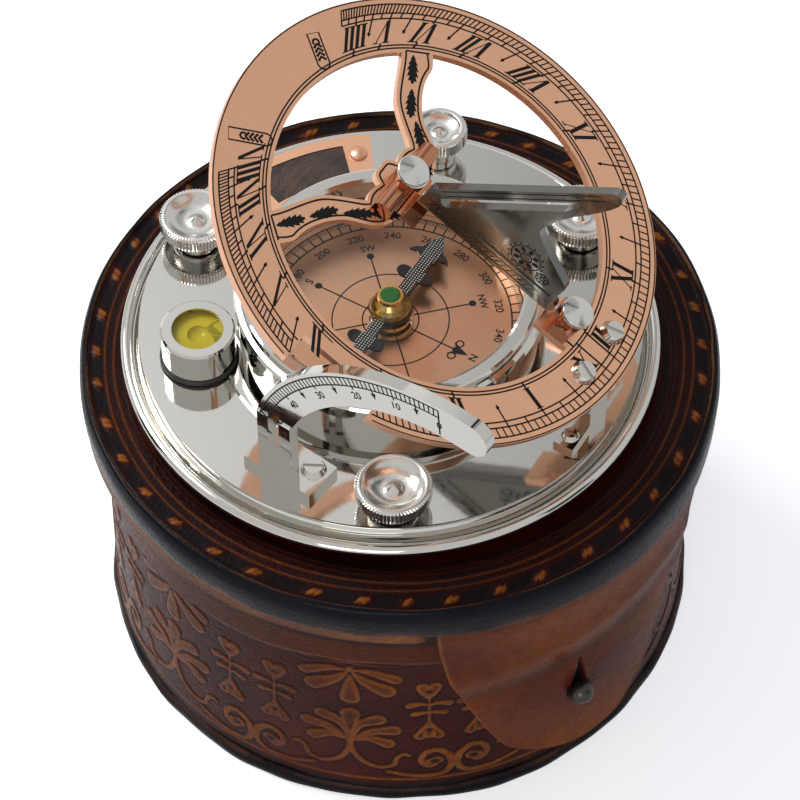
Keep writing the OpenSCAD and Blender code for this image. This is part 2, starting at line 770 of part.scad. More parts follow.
module plaque_rivets() {
  color("peru") for (a = rivet_dirs()) at_plate(a, rivet_at()) {
    translate([0, 0, plate_low]) cylinder(d = rivet_d / 2, h = plate_t + plaque_t + 0.3);
    intersection() {
      translate([0, 0, plate_z + plaque_t]) scale([1, 1, 0.55]) sphere(d = rivet_d);
      translate([-rivet_d, -rivet_d, plate_z + plaque_t]) cube([rivet_d * 2, rivet_d * 2, rivet_d]);
    }
  }
}

// levellers

module leveller_bushes() {
  color("silver") for (a = leveller_dirs) at_plate(a, leveller_at) difference() {
    union() {
      translate([0, 0, plate_low]) cylinder(d = rod_d + 3, h = plate_t);
      translate([0, 0, plate_z]) cylinder(d = rod_d + 5, h = bush_flange);
    }
    translate([0, 0, plate_low - 1]) cylinder(r = rod_d / 2 + run_gap, h = plate_t + bush_flange + 2);
  }
}

module leveller_foot(dir) {
  color("silver") at_plate(dir, leveller_at) difference() {
    translate([0, 0, foot_low]) cylinder(d1 = foot_d, d2 = foot_d - 1, h = foot_h);
    translate([0, 0, rod_low - seat_gap]) cylinder(r = rod_d / 2 + run_gap, h = 10);
  }
}

module leveller_rod(dir) {
  rod_l = knob_top - knob_dish - 0.8 - rod_low;
  color("lightsteelblue") at_plate(dir, leveller_at) translate([0, 0, rod_low]) cylinder(d = rod_d, h = rod_l);
}

// a dished knurled head on a narrower hub, standing on z = 0, with a blind bore from below
module dished_knob(hub_d, hub_h, head_d, head_h, dish, bore_d) {
  r = head_d / 2;
  top = hub_h + head_h;
  difference() {
    rotate_extrude() polygon([
      [0, 0], [hub_d / 2 - 0.3, 0], [hub_d / 2, 0.3], [hub_d / 2, hub_h], [r - 0.4, hub_h], [r, hub_h + 0.4],
      [r, top - 0.5], [r - 0.5, top], [r - 1.5, top], [r * 0.52, top - dish * 0.86], [r * 0.27, top - dish],
      [r * 0.16, top - dish * 0.8], [0, top - dish * 0.3]
    ]);
    translate([0, 0, -1]) cylinder(d = bore_d, h = top - dish - 0.8 + 1);
  }
}

module leveller_knob(dir) {
  color("gainsboro") at_plate(dir, leveller_at) translate([0, 0, knob_low])
    dished_knob(knob_hub_d, knob_hub_h, knob_d, knob_head_h, knob_dish, rod_d);
}

module south_leveller_foot() {
  leveller_foot(leveller_dirs[0]);
}

module south_leveller_rod() {
  leveller_rod(leveller_dirs[0]);
}

module south_leveller_knob() {
  leveller_knob(leveller_dirs[0]);
}

module northwest_leveller_foot() {
  leveller_foot(leveller_dirs[1]);
}

module northwest_leveller_rod() {
  leveller_rod(leveller_dirs[1]);
}

module northwest_leveller_knob() {
  leveller_knob(leveller_dirs[1]);
}

module northeast_leveller_foot() {
  leveller_foot(leveller_dirs[2]);
}

module northeast_leveller_rod() {
  leveller_rod(leveller_dirs[2]);
}

module northeast_leveller_knob() {
  leveller_knob(leveller_dirs[2]);
}

// needle clamp

module clamp_bush() {
  color("silver") at_plate(clamp_angle, clamp_at) difference() {
    union() {
      translate([0, 0, plate_low]) cylinder(d = clamp_rod_d + 3, h = plate_t);
      translate([0, 0, plate_z]) cylinder(d = clamp_rod_d + 4.6, h = bush_flange);
    }
    translate([0, 0, plate_low - 1]) cylinder(r = clamp_rod_d / 2 + run_gap, h = plate_t + bush_flange + 2);
  }
}

module clamp_screw() {
  low = lever_low - 1.5;
  color("lightsteelblue") at_plate(clamp_angle, clamp_at) translate([0, 0, low])
    cylinder(d = clamp_rod_d, h = clamp_top - 2.8 - low);
}

// the collar under the plate that keeps the clamp screw from rising
module clamp_stop() {
  color("silver") at_plate(clamp_angle, clamp_at) difference() {
    translate([0, 0, stop_low]) cylinder(d = clamp_rod_d + 1.6, h = stop_t);
    translate([0, 0, stop_low - 1]) cylinder(d = clamp_rod_d, h = stop_t + 2);
  }
}

module clamp_knob() {
  hub = clamp_top - clamp_low - clamp_head_h;
  color("gainsboro") at_plate(clamp_angle, clamp_at) translate([0, 0, clamp_low])
    dished_knob(clamp_knob_d * 0.62, hub, clamp_knob_d, clamp_head_h, 2, clamp_rod_d);
}

module lever_bracket() {
  w = lever_w / 2 + hinge_gap;
  color("goldenrod") difference() {
    at_plate(clamp_angle, fulcrum_at) for (s = [-1, 1]) translate([0, s * (w + 0.7), 0]) {
      translate([-2.2, -0.7, lever_pin_z]) cube([4.4, 1.4, plate_low - lever_pin_z]);
      translate([0, 0, lever_pin_z]) bar_y(1.6, 1.4);
    }
    at_plate(clamp_angle, fulcrum_at) translate([0, 0, lever_pin_z]) bar_y(lever_pin_d / 2, 20);
  }
}

module lever_pin() {
  color("lightsteelblue") at_plate(clamp_angle, fulcrum_at) translate([0, 0, lever_pin_z])
    bar_y(lever_pin_d / 2, lever_w + 2 * hinge_gap + 2.8);
}

module lifter_lever() {
  color("goldenrod") difference() {
    at_plate(clamp_angle, 0) union() {
      translate([0, 0, lever_low]) cylinder(r = fork_y + 1.4, h = lever_t);
      translate([0, -lever_w / 2, lever_low]) cube([clamp_at, lever_w, lever_t]);
      translate([clamp_at, 0, lever_low]) cylinder(r = nut_d / 2 + 0.8, h = lever_t);
      translate([fulcrum_at, 0, lever_pin_z]) bar_y(lever_t / 2 + 0.35, lever_w);
      for (s = [-1, 1]) translate([0, s * fork_y, lever_low])
        cylinder(r = 0.6, h = collar_low + collar_t - lever_low);
    }
    at_plate(clamp_angle, fulcrum_at) translate([0, 0, lever_pin_z])
      bar_y(lever_pin_d / 2 + run_gap, lever_w + 2);
    at_plate(clamp_angle, clamp_at) translate([0, 0, lever_low - 1]) cylinder(d = nut_d, h = lever_t + 2);
  }
}

// the nut on the end of the lever, run up and down by the clamp screw
module lever_nut() {
  color("goldenrod") at_plate(clamp_angle, clamp_at) difference() {
    union() {
      translate([0, 0, nut_low]) cylinder(d = nut_d, h = lever_z - nut_low);
      translate([0, 0, lever_z]) cylinder(d = nut_d + 1.2, h = nut_lip);
    }
    translate([0, 0, nut_low - 1]) cylinder(r = clamp_rod_d / 2 + 0.1, h = 10);
  }
}

module lifter_collar() {
  color("goldenrod") difference() {
    at_plate(clamp_angle, 0) translate([0, 0, collar_low]) cylinder(r = fork_y + 1.3, h = collar_t);
    at_plate(clamp_angle, 0) translate([0, 0, collar_low - 1]) cylinder(d = pivot_d + 1.8, h = collar_t + 2);
    for (s = [-1, 1]) at_plate(clamp_angle, 0) translate([0, s * fork_y, collar_low - 1])
      cylinder(r = 0.6, h = collar_t + 2);
  }
}

// ring hinge

module ring_hinge_post() {
  in_x = hinge_at + post_t / 2 - post_foot_l;
  color("gainsboro") difference() {
    on_lid() union() {
      translate([in_x, -post_foot_w / 2, plate_z]) cube([post_foot_l, post_foot_w, post_foot_t]);
      translate([hinge_at - post_t / 2, -post_w / 2, plate_z]) cube([post_t, post_w, hinge_up]);
      translate([hinge_at, 0, hinge_z]) bar_y(knuckle_d / 2, post_w);
    }
    on_lid() translate([hinge_at, 0, hinge_z]) bar_y(hinge_pin_d / 2 + run_gap, post_w + 2);
    for (s = [-1, 1]) on_lid() translate([post_screw_x, s * post_screw_y, plate_z - 1])
      cylinder(d = post_screw_d, h = post_foot_t + 2);
  }
}

module hinge_post_screws() {
  color("silver") for (s = [-1, 1]) on_lid() translate([post_screw_x, s * post_screw_y, plate_z + post_foot_t])
    slotted_screw(post_screw_d + 1.6, 1.2, post_screw_d, post_foot_t + plate_t);
}

module ring_hinge_block() {
  cheek = post_w / 2 + hinge_gap;
  x0 = hinge_reach - 8.4;
  x1 = ring_d / 2 - 0.6;
  zb = -ring_t - block_h;
  color("peru") difference() {
    in_ring() union() {
      translate([x0, -block_w / 2, zb + 2.2]) cube([x1 - x0, block_w, block_h - 2.2]);
      translate([x0 + 3.6, -block_w / 2, zb]) cube([x1 - x0 - 3.6, block_w, 2.4]);
    }
    in_ring() translate([hinge_reach - knuckle_d / 2 - 0.6, -cheek, zb - 1]) cube([20, 2 * cheek, block_h + 1]);
    in_ring() translate([hinge_reach, 0, -hinge_drop]) bar_y(hinge_pin_d / 2, block_w + 2);
    for (s = [-1, 1]) in_ring() translate([ring_screw_at, s * ring_screw_y, -ring_t - 4])
      cylinder(d = ring_screw_d / 2, h = 5);
  }
}

module ring_hinge_pin() {
  color("lightsteelblue") in_ring() translate([hinge_reach, 0, -hinge_drop]) bar_y(hinge_pin_d / 2, block_w);
}

module ring_screws() {
  color("gainsboro") for (s = [-1, 1]) in_ring() translate([ring_screw_at, s * ring_screw_y, 0])
    rotate([0, 0, s * 20]) slotted_screw(ring_screw_d, 1.7, ring_screw_d / 2, ring_t + 3.4);
}

// hour ring

function bez(p, t) =
  pow(1 - t, 3) * p[0] + 3 * pow(1 - t, 2) * t * p[1] + 3 * (1 - t) * t * t * p[2] + pow(t, 3) * p[3];
function curve(p, n) = [for (i = [0:n]) bez(p, i / n)];
function back(list) = [for (i = [len(list) - 1:-1:0]) list[i]];
function across(list) = [for (q = list) [q[0], -q[1]]];

// the two scrolled arms, their lobed crown and the tongue at noon
module arms_shape() {
  rb = ring_bore_d / 2;
  n = 7;
  root = curve([[-25, 34], [-22.8, 31], [-21.8, 30], [-21.7, 28.5]], 4);
  upper = curve([[-21.7, 28.5], [-21.9, 24.5], [-18.6, 18.8], [-15.5, 16.4]], n);
  neck = curve([[-15.5, 16.4], [-12.5, 14.2], [crown_x - 0.7, 13.5], [crown_x, 7]], n);
  lower = curve([[-30.5, 28.5], [-28.3, 26], [-26.5, 20.5], [-24.2, 17]], n);
  waist = curve([[-24.2, 17], [-22, 13.8], [-17.5, 11.5], [-14.8, 9.2]], n);
  side_lobe = curve([[-14.8, 9.2], [-15.9, 8], [-15.9, 5], [-14.9, 3.7]], 5);
  mid_lobe = curve([[-14.9, 3.7], [-17.4, 3.2], [-17.7, 1.6], [-17.4, 0]], 5);
  south = concat([[-0.76 * rb, 0.7 * rb]], lower, waist, side_lobe, mid_lobe);
  north = concat([[-0.64 * rb, 0.84 * rb]], root, upper, neck);
  polygon(concat(south, across(back(south)), across(north), back(north)));
  translate([tongue_x, -tongue_w / 2]) square([rb + 1 - tongue_x, tongue_w]);
}

module hour_ring() {
  color("peru") difference() {
    in_ring() translate([0, 0, -ring_t]) linear_extrude(ring_t) union() {
      difference() {
        circle(d = ring_d, $fn = 180);
        circle(d = ring_bore_d, $fn = 180);
      }
      arms_shape();
    }
    in_ring() translate([notch_from, -ring_d, -ring_t - 1])
      cube([notch_to - notch_from, ring_d - notch_at, ring_t + 2]);
    for (s = [-1, 1]) in_ring() translate([ring_screw_at, s * ring_screw_y, -ring_t - 1])
      cylinder(d = ring_screw_d / 2, h = ring_t + 2);
    for (x = [south_barrel_x, north_barrel_x]) in_ring() translate([x, 0, -ring_t - 1])
      cylinder(d = bracket_shank_d, h = ring_t + 2);
  }
}

// gnomon
// a half-round bar across the noon line with an upright post, standing on the face of the ring
module bracket_block(l) {
  translate([-barrel_d / 2, -l / 2, 0]) cube([barrel_d, l, barrel_d / 2]);
  translate([0, 0, barrel_d / 2]) bar_y(barrel_d / 2, l);
  cylinder(d = bracket_post_d, h = clamp_head_up);
}

module gnomon_ear(x) {
  translate([x, -ear_w / 2, 0]) cube([ear_t, ear_w, ear_top]);
}

module gnomon_south_bracket() {
  color("sienna") difference() {
    in_ring() union() {
      translate([south_barrel_x, 0, 0]) bracket_block(barrel_l);
      gnomon_ear(south_ear_x - ear_t);
      translate([crown_x, -lip_w / 2, -ring_t]) cube([lip_x - crown_x, lip_w, lip_t]);
      translate([crown_x, -lip_w / 2, -ring_t]) cube([lip_wall, lip_w, ring_t + 0.6]);
    }
    in_ring() translate([south_ear_x - ear_t - 1, 0, pivot_up]) bar_x(pivot_pin_d / 2, ear_t + 2);
    in_ring() translate([south_barrel_x, 0, -1]) cylinder(d = bracket_shank_d, h = clamp_head_up + 2);
  }
}

module gnomon_north_bracket() {
  color("sienna") difference() {
    in_ring() union() {
      translate([north_barrel_x, 0, 0]) bracket_block(tongue_w);
      gnomon_ear(north_ear_x);
    }
    in_ring() translate([north_ear_x - 1, 0, pivot_up]) bar_x(pivot_pin_d / 2, ear_t + 1.5);
    in_ring() translate([north_barrel_x, 0, -1]) cylinder(d = bracket_shank_d, h = clamp_head_up + 2);
  }
}

module gnomon_pivot_pins() {
  l = ear_t + ear_gap + pin_grip;
  color("gainsboro") in_ring() translate([0, 0, pivot_up]) {
    translate([south_ear_x - ear_t, 0, 0]) bar_x(pivot_pin_d / 2, l);
    translate([gnomon_north - pin_grip, 0, 0]) bar_x(pivot_pin_d / 2, l - 1);
  }
}

module gnomon_clamp_screws() {
  d = clamp_head_d;
  color("gainsboro") for (x = [south_barrel_x, north_barrel_x]) in_ring() translate([x, 0, 0]) {
    translate([0, 0, clamp_head_up]) rotate_extrude() polygon([
      [0, 0], [d / 2 - 0.3, 0], [d / 2, 0.3], [d / 2, 0.6], [0.5, 1.2], [0.3, 0.9], [0, 0.9]
    ]);
    translate([0, 0, -ring_t]) cylinder(d = bracket_shank_d, h = clamp_head_up + ring_t + 0.1);
  }
}

// x on the outer line of the style at height h above the ring, moved in by w
function style_x(h, w = 0) = gnomon_south + (h - style_low) / tan_style + w / sin(style_angle);

// the back edge and the slope of the gnomon, moved in by w
function gnomon_back(w) = concat(
  curve([
    [corner_x + 7.5 - w, style_tip - 2.8], [corner_x + 6.3 - w, style_tip - 9.9],
    [corner_x + 0.5 - w, corner_h + 9.4], [corner_x - w, corner_h + 1]
  ], 8),
  curve([
    [corner_x + 0.1 - w, corner_h - 0.4 - w * 0.3], [corner_x + 1.7 - w, corner_h - 3.2 - w * 0.3],
    [heel_x - 5.6 - w, heel_h + 4.2 - w * 0.5], [heel_x - 0.6 - w, heel_h + 0.8 - w * 0.5]
  ], 6),
  [[heel_x - w, heel_h - 0.2 - w]]
);

// the sunk field: between the slot and the rim, above the band along the foot
module gnomon_field() {
  low = 2 * pivot_up - gnomon_low + 0.4;
  rim = gnomon_rim;
  edge = gnomon_back(rim);
  slot_in = style_t + style_slot + rim;
  inside = [for (q = edge) if (q[0] > style_x(q[1], slot_in) + 0.2) q];
  first = inside[0][1];
  corner = [[style_x(low, slot_in), low], [style_x(first, slot_in), first]];
  polygon(concat(corner, inside, [[heel_x - rim, low]]));
}

module gnomon() {
  foot_r = pivot_up - gnomon_low;
  foot_top = 2 * pivot_up - gnomon_low;
  slot_low = foot_top + 0.6;
  slot_top = style_tip - 11.4;
  slot_in = style_t + style_slot;
  tip = curve([
    [style_x(style_tip - 2), style_tip - 2], [corner_x + 5.1, style_tip + 0.8],
    [corner_x + 7.8, style_tip + 0.8], [corner_x + 7.5, style_tip - 2.8]
  ], 6);
  side = concat(
    [[gnomon_south, gnomon_low], [gnomon_south, style_low]], tip, gnomon_back(0),
    [[heel_x, foot_top], [gnomon_north - foot_r, foot_top], [gnomon_north - foot_r, gnomon_low]]
  );
  color("gainsboro") difference() {
    in_ring() union() {
      rotate([90, 0, 0]) linear_extrude(gnomon_t, center = true) polygon(side);
      translate([gnomon_north - foot_r, 0, pivot_up]) bar_y(foot_r, gnomon_t);
    }
    in_ring() rotate([90, 0, 0]) linear_extrude(gnomon_t + 2, center = true) polygon([
      [style_x(slot_low, style_t), slot_low], [style_x(slot_top, style_t), slot_top],
      [style_x(slot_top, style_t) + 1.3, slot_top], [style_x(slot_top - 5.5, slot_in), slot_top - 5.5],
      [style_x(slot_low, slot_in), slot_low]
    ]);
    for (s = [-1, 1]) in_ring() translate([0, s * (gnomon_t / 2 + 0.5 - gnomon_sink / 2), 0])
      rotate([90, 0, 0]) linear_extrude(gnomon_sink + 1, center = true) gnomon_field();
    in_ring() translate([gnomon_south - 1, 0, pivot_up]) bar_x(pivot_pin_d / 2 + run_gap, pin_grip + 1.4);
    in_ring() translate([gnomon_north - pin_grip - 0.4, 0, pivot_up])
      bar_x(pivot_pin_d / 2 + run_gap, pin_grip + 2);
  }
}

// latitude arc

module arc_foot() {
  color("gainsboro") difference() {
    in_arc() union() {
      translate([-pad_back, -0.9, plate_z]) cube([pad_l, pad_w, pad_t]);
      translate([-leg_w / 2, 0, plate_z]) cube([leg_w, arc_t, arc_pin_z - plate_z]);
      translate([-leg_w / 2, arc_t / 2, arc_pin_z]) bar_x(arc_t / 2, leg_w);
    }
    in_arc() translate([-slot_w / 2, -3, leg_top - slot_h]) cube([slot_w, arc_t + 6, slot_h + 2]);
    in_arc() translate([-leg_w, arc_t / 2, arc_pin_z]) bar_x(arc_pin_d / 2, leg_w * 2);
    in_arc() translate([pad_screw_x, pad_screw_y, plate_z - 1]) cylinder(d = pad_shank_d, h = pad_t + 2);
  }
}

module arc_foot_screw() {
  color("gainsboro") in_arc() translate([pad_screw_x, pad_screw_y, plate_z + pad_t]) rotate([0, 0, 35])
    slotted_screw(pad_screw_d, 1.5, pad_shank_d, pad_t + plate_t);
}

module arc_pin() {
  color("lightsteelblue") in_arc() translate([-leg_w / 2, arc_t / 2, arc_pin_z]) bar_x(arc_pin_d / 2, leg_w);
}

module latitude_arc() {
  r0 = arc_r - arc_in;
  r1 = arc_r + arc_out;
  foot_z = leg_top + 0.35;
  tail_w = slot_w - 2 * slot_gap;
  tip_r = (r1 - r0) / 2;
  color("gainsboro") difference() {
    in_arc() union() {
      intersection() {
        translate([arc_mid, arc_t / 2, arc_mid_z]) rotate([90, 0, 0])
          linear_extrude(arc_t, center = true) union() {
          difference() {
            circle(r1, $fn = 180);
            circle(r0, $fn = 180);
            rotate(arc_tip_angle - 90) translate([0, -2 * r1]) square([2 * r1, 4 * r1]);
          }
          rotate(arc_tip_angle) translate([(r0 + r1) / 2, 0]) circle(tip_r);
        }
        translate([-20, -1, foot_z]) cube([120, arc_t + 2, 100]);
      }
      translate([-tail_w / 2, 0, arc_pin_z]) cube([tail_w, arc_t, foot_z - arc_pin_z + 0.5]);
      translate([-tail_w / 2, arc_t / 2, arc_pin_z]) bar_x(arc_t / 2, tail_w);
    }
    in_arc() translate([-leg_w, arc_t / 2, arc_pin_z]) bar_x(arc_pin_d / 2 + run_gap, leg_w * 2);
  }
}

case_body();
case_bottom_edge();
flap_stud();
case_lid();
lid_binding();
closing_flap();
base_plate();
compass_bowl();
bowl_screws();
compass_card();
compass_bezel();
compass_glass();
needle_pivot();
compass_needle();
needle_cap();
cap_jewel();
level_cup();
level_seal();
level_fluid();
level_glass();
blank_plaque();
plaque_rivets();
leveller_bushes();
south_leveller_foot();
south_leveller_rod();
south_leveller_knob();
northwest_leveller_foot();
northwest_leveller_rod();
northwest_leveller_knob();
northeast_leveller_foot();
northeast_leveller_rod();
northeast_leveller_knob();
clamp_bush();
clamp_screw();
clamp_stop();
clamp_knob();
lever_bracket();
lever_pin();
lifter_lever();
lever_nut();
lifter_collar();
ring_hinge_post();
hinge_post_screws();
ring_hinge_pin();
ring_hinge_block();
ring_screws();
hour_ring();
gnomon_south_bracket();
gnomon_north_bracket();
gnomon_pivot_pins();
gnomon_clamp_screws();
gnomon();
arc_foot();
arc_foot_screw();
arc_pin();
latitude_arc();
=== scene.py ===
# %% [markdown]
# # Dressing a sundial compass
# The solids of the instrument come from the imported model: plate, compass, hour ring, gnomon,
# latitude arc and the leather case under them. This notebook gives them their looks, and adds
# what is too fine for the solids: engraved hours, degree scales, the compass rose, knurling,
# leather grain, tooling and lacing. Drawings are made in millimetres in the model's own frame and
# become metres when they turn into meshes.

# %% Load the model
import json
import math
import bpy
import numpy as np
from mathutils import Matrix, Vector


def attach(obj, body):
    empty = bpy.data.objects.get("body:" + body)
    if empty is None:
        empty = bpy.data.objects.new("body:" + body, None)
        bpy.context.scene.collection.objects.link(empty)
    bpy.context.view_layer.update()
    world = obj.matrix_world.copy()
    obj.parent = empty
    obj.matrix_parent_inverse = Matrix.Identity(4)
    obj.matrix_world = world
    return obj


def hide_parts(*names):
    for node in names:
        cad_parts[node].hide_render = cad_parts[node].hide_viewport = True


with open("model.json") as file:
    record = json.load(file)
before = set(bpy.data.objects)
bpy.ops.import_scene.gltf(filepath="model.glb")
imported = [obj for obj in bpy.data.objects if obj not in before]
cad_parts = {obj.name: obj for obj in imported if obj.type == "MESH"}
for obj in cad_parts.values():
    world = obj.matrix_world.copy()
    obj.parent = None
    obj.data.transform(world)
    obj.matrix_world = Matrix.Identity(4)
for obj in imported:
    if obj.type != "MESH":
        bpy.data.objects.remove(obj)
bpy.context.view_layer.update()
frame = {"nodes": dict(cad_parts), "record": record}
NODES = frame["nodes"]
MM = 0.001
scene = bpy.context.scene

# %% [markdown]
# ## Camera
# The photograph looks down at about 52 degrees, from the side of the afternoon hours. A long lens
# from 0.8 m keeps the rings close to true ellipses, as they are there.

# %% Camera
AZIMUTH, ELEVATION, DISTANCE = math.radians(30.89), math.radians(52.52), 0.8
TARGET = Vector((0.0002, 0.0001, 0.0649))


def look(o, place, way):
    """Puts a camera or a lamp at its place, turned to look along a direction."""
    o.location, o.rotation_mode = place, "QUATERNION"
    o.rotation_quaternion = way.to_track_quat("-Z", "Y")
    scene.collection.objects.link(o)


flat = math.cos(ELEVATION)
back = Vector((math.sin(AZIMUTH) * flat, -math.cos(AZIMUTH) * flat, math.sin(ELEVATION)))
lens = bpy.data.cameras.new("camera")
lens.sensor_width, lens.lens = 36.0, 149.35
camera = bpy.data.objects.new("camera", lens)
look(camera, TARGET + back * DISTANCE, -back)
scene.camera = camera
print("camera at", tuple(round(v, 3) for v in camera.location))

# %% [markdown]
# ## Frames of the moving parts
# The hour ring is drawn flat and then tilted about its hinge; the latitude arc stands on a foot
# that is turned a little. The same sizes as in the part's source give small functions that
# carry a flat drawing (x along, y across, z off the face) to its place.

# %% Plate, ring and arc frames
INST = np.array([-1.7, -1.0, 0.0])
CARD_Z = 95.8
RING_TILT, HINGE_AT, HINGE_Z, HINGE_REACH, HINGE_DROP = math.radians(27.84), 54.0, 110.56, 50.2, 7.0
TILT_C, TILT_S = math.cos(RING_TILT), math.sin(RING_TILT)
ARC_TURN, ARC_X, ARC_Y = math.radians(6.5), 1.0, 52.0
ARC_MID, ARC_MID_Z, ARC_R = 49.9, 99.8, 53.9


def on_plate(p):
    """A point of the plate: the instrument stands a little off the middle of the case."""
    return p + INST


def on_ring(p):
    """Flat drawing of the ring, turned by the tilt about the hinge axis, then moved to the hinge."""
    p = np.asarray(p, float)
    x, z = p[..., 0] - HINGE_REACH, p[..., 2] + HINGE_DROP
    along, up = HINGE_AT + x * TILT_C + z * TILT_S, HINGE_Z - x * TILT_S + z * TILT_C
    return np.stack([along, p[..., 1], up], -1) + INST


def on_arc(p):
    """Drawing of the arc: x along it, y upwards, z out of its outer face."""
    c, s = math.cos(ARC_TURN), math.sin(ARC_TURN)
    x, y = ARC_X + p[..., 0] * c - p[..., 2] * s, -ARC_Y - p[..., 0] * s - p[..., 2] * c
    return np.stack([x, y, p[..., 1]], -1) + INST


print("middle of the ring", np.round(on_ring([0, 0, 0]), 2))

# %% [markdown]
# ## Nodes, pieces and their finish
# Shaders and meshes are built with a few helpers: one adds a shader node and links its inputs, one
# makes a mesh from points, and one gives a piece its finish and says what it rides on.

# %% Helpers for shaders and meshes


def fill(tree, n, values):
    """Sets inputs of a node by name or number, and its settings by _name; a socket is linked."""
    for key, v in values.items():
        if key.startswith("_"):
            setattr(n, key[1:], v)
            continue
        s = n.inputs[int(key[1:])] if key[1:].isdigit() else n.inputs[key.replace("_", " ")]
        if isinstance(v, bpy.types.NodeSocket):
            tree.links.new(v, s)
        else:
            s.default_value = v


def node_maker(tree):
    """Returns a short way to add a shader node, fill it and get one of its outputs."""
    def make(kind, out=0, **values):
        n = tree.nodes.new("ShaderNode" + kind)
        fill(tree, n, values)
        return n.outputs[out] if len(n.outputs) else None
    return make


def principled(m):
    """The node maker of a material, and a short way to fill its Principled shader."""
    m.use_nodes = True
    return node_maker(m.node_tree), lambda **v: fill(m.node_tree, m.node_tree.nodes["Principled BSDF"], v)


def bare_nodes(owner):
    """The node maker of a world or material whose own nodes are taken out."""
    owner.use_nodes = True
    owner.node_tree.nodes.clear()
    return node_maker(owner.node_tree)


def calc(mk, operation, a, b=0.0, **more):
    """A sum on one or two values."""
    return mk("Math", i0=a, i1=b, _operation=operation, **more)


def blend(mk, factor, a, b):
    """Colour b over colour a by a factor; a may be the colour of another node."""
    a = a if isinstance(a, bpy.types.NodeSocket) else (*a, 1)
    return mk("Mix", 2, _data_type="RGBA", i0=factor, i6=a, i7=(*b, 1))


def noise_range(mk, vector, scale, detail, rough, limits, lo, hi):
    """Noise on a vector, spread from its usual limits to lo and hi, and the noise itself."""
    n = mk("TexNoise", Vector=vector, Scale=scale, Detail=detail, Roughness=rough)
    return mk("MapRange", Value=n, From_Min=limits[0], From_Max=limits[1], To_Min=lo, To_Max=hi), n


def mesh_piece(name, points, faces):
    """A mesh object from points in millimetres and lists of corner numbers."""
    points = np.asarray(points, float).reshape(-1, 3) * MM
    me = bpy.data.meshes.new(name)
    me.from_pydata(points.tolist(), [], faces)
    me.update()
    o = bpy.data.objects.new(name, me)
    scene.collection.objects.link(o)
    return o


def mesh_points(mesh):
    """The corner points of a mesh as rows."""
    co = np.empty(len(mesh.vertices) * 3)
    mesh.vertices.foreach_get("co", co)
    return co.reshape(-1, 3)


def dress(o, material, body, smooth=True):
    """Gives a piece its finish and the body it rides on."""
    if smooth:
        o.data.polygons.foreach_set("use_smooth", np.ones(len(o.data.polygons), bool))
    o.data.materials.append(material)
    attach(o, body)
    return o


scene.view_settings.view_transform = "Standard"
print("view transform", scene.view_settings.view_transform)

# %% [markdown]
# ## Light and floor
# The object stands on white paper in soft daylight. The floor shows white to the camera but still
# carries the shadow, and the sky is white only where it is seen, mirrored or seen through glass.
# Two soft boxes shape the leather, and cards that only mirrors see draw the edges of the nickel,
# which would be plain white in a plain white room.

# %% Sky, lamps, floor and cards
world = scene.world = bpy.data.worlds.new("sky")
w = bare_nodes(world)
seen = calc(w, "MAXIMUM", w("LightPath", "Is Camera Ray"), w("LightPath", "Is Transmission Ray"))
soft = w("Background", Color=(0.84, 0.89, 1.0, 1), Strength=0.42)
mirrored = w("Background", Color=(1.0, 0.99, 0.97, 1), Strength=0.74)
white = w("Background", Color=(1, 1, 1, 1), Strength=1.0)
by_gloss = w("MixShader", i0=w("LightPath", "Is Glossy Ray"), i1=soft, i2=mirrored)
w("OutputWorld", Surface=w("MixShader", i0=seen, i1=by_gloss, i2=white))


def board(name, corners, material, only_mirrored=True):
    """A flat board of the stage; most are seen by mirrors alone and throw no shadow."""
    o = mesh_piece(name, corners, [[0, 1, 2, 3]])
    o.data.materials.append(material)
    if only_mirrored:
        o.visible_camera = o.visible_diffuse = o.visible_shadow = o.visible_transmission = False


BOX_WIDTH = 0.5
for name, place, aim, power, colour in (
        ("window", (-0.66, -0.02, 0.82), (0, 0, 0.08), 7.0, (1.0, 0.98, 0.95)),
        ("front_fill", (0.35, -0.95, 0.45), (0, 0, 0.05), 2.2, (1.0, 0.97, 0.94))):
    data = bpy.data.lights.new(name, "AREA")
    data.shape, data.size, data.energy, data.color = "SQUARE", BOX_WIDTH, power, colour
    look(bpy.data.objects.new(name, data), place, Vector(aim) - Vector(place))

paper_mat = bpy.data.materials.new("white_paper")
f = bare_nodes(paper_mat)
paper = f("BsdfDiffuse", Color=(0.93, 0.93, 0.93, 1))
glow = f("Emission", Color=(1, 1, 1, 1), Strength=0.55)
mirror_share = calc(f, "MULTIPLY", f("LightPath", "Is Glossy Ray"), 0.25)
looked_at = calc(f, "MAXIMUM", f("LightPath", "Is Camera Ray"), mirror_share)
f("OutputMaterial", Surface=f("MixShader", i0=looked_at, i1=paper, i2=f("AddShader", i0=paper, i1=glow)))

black_board = bpy.data.materials.new("black_board")
_, shade = principled(black_board)
shade(Base_Color=(0.02, 0.02, 0.022, 1))

cloud_mat = bpy.data.materials.new("cloudy_sky")
c = bare_nodes(cloud_mat)
spot = c("TexCoord", "Object")
towards = c("VectorMath", 1, i0=spot, i1=(0.858, 0.514, 0.0), _operation="DOT_PRODUCT")
puffs = c("TexNoise", Vector=spot, Scale=2.6, Detail=2.0, Roughness=0.45)
bent = calc(c, "ADD", calc(c, "MULTIPLY", puffs, 0.55), towards)
level = c("MapRange", Value=bent, From_Min=0.08, From_Max=0.52, To_Min=1.0, To_Max=0.46)
c("OutputMaterial", Surface=c("Emission", Color=(1.0, 1.0, 1.0, 1), Strength=level))

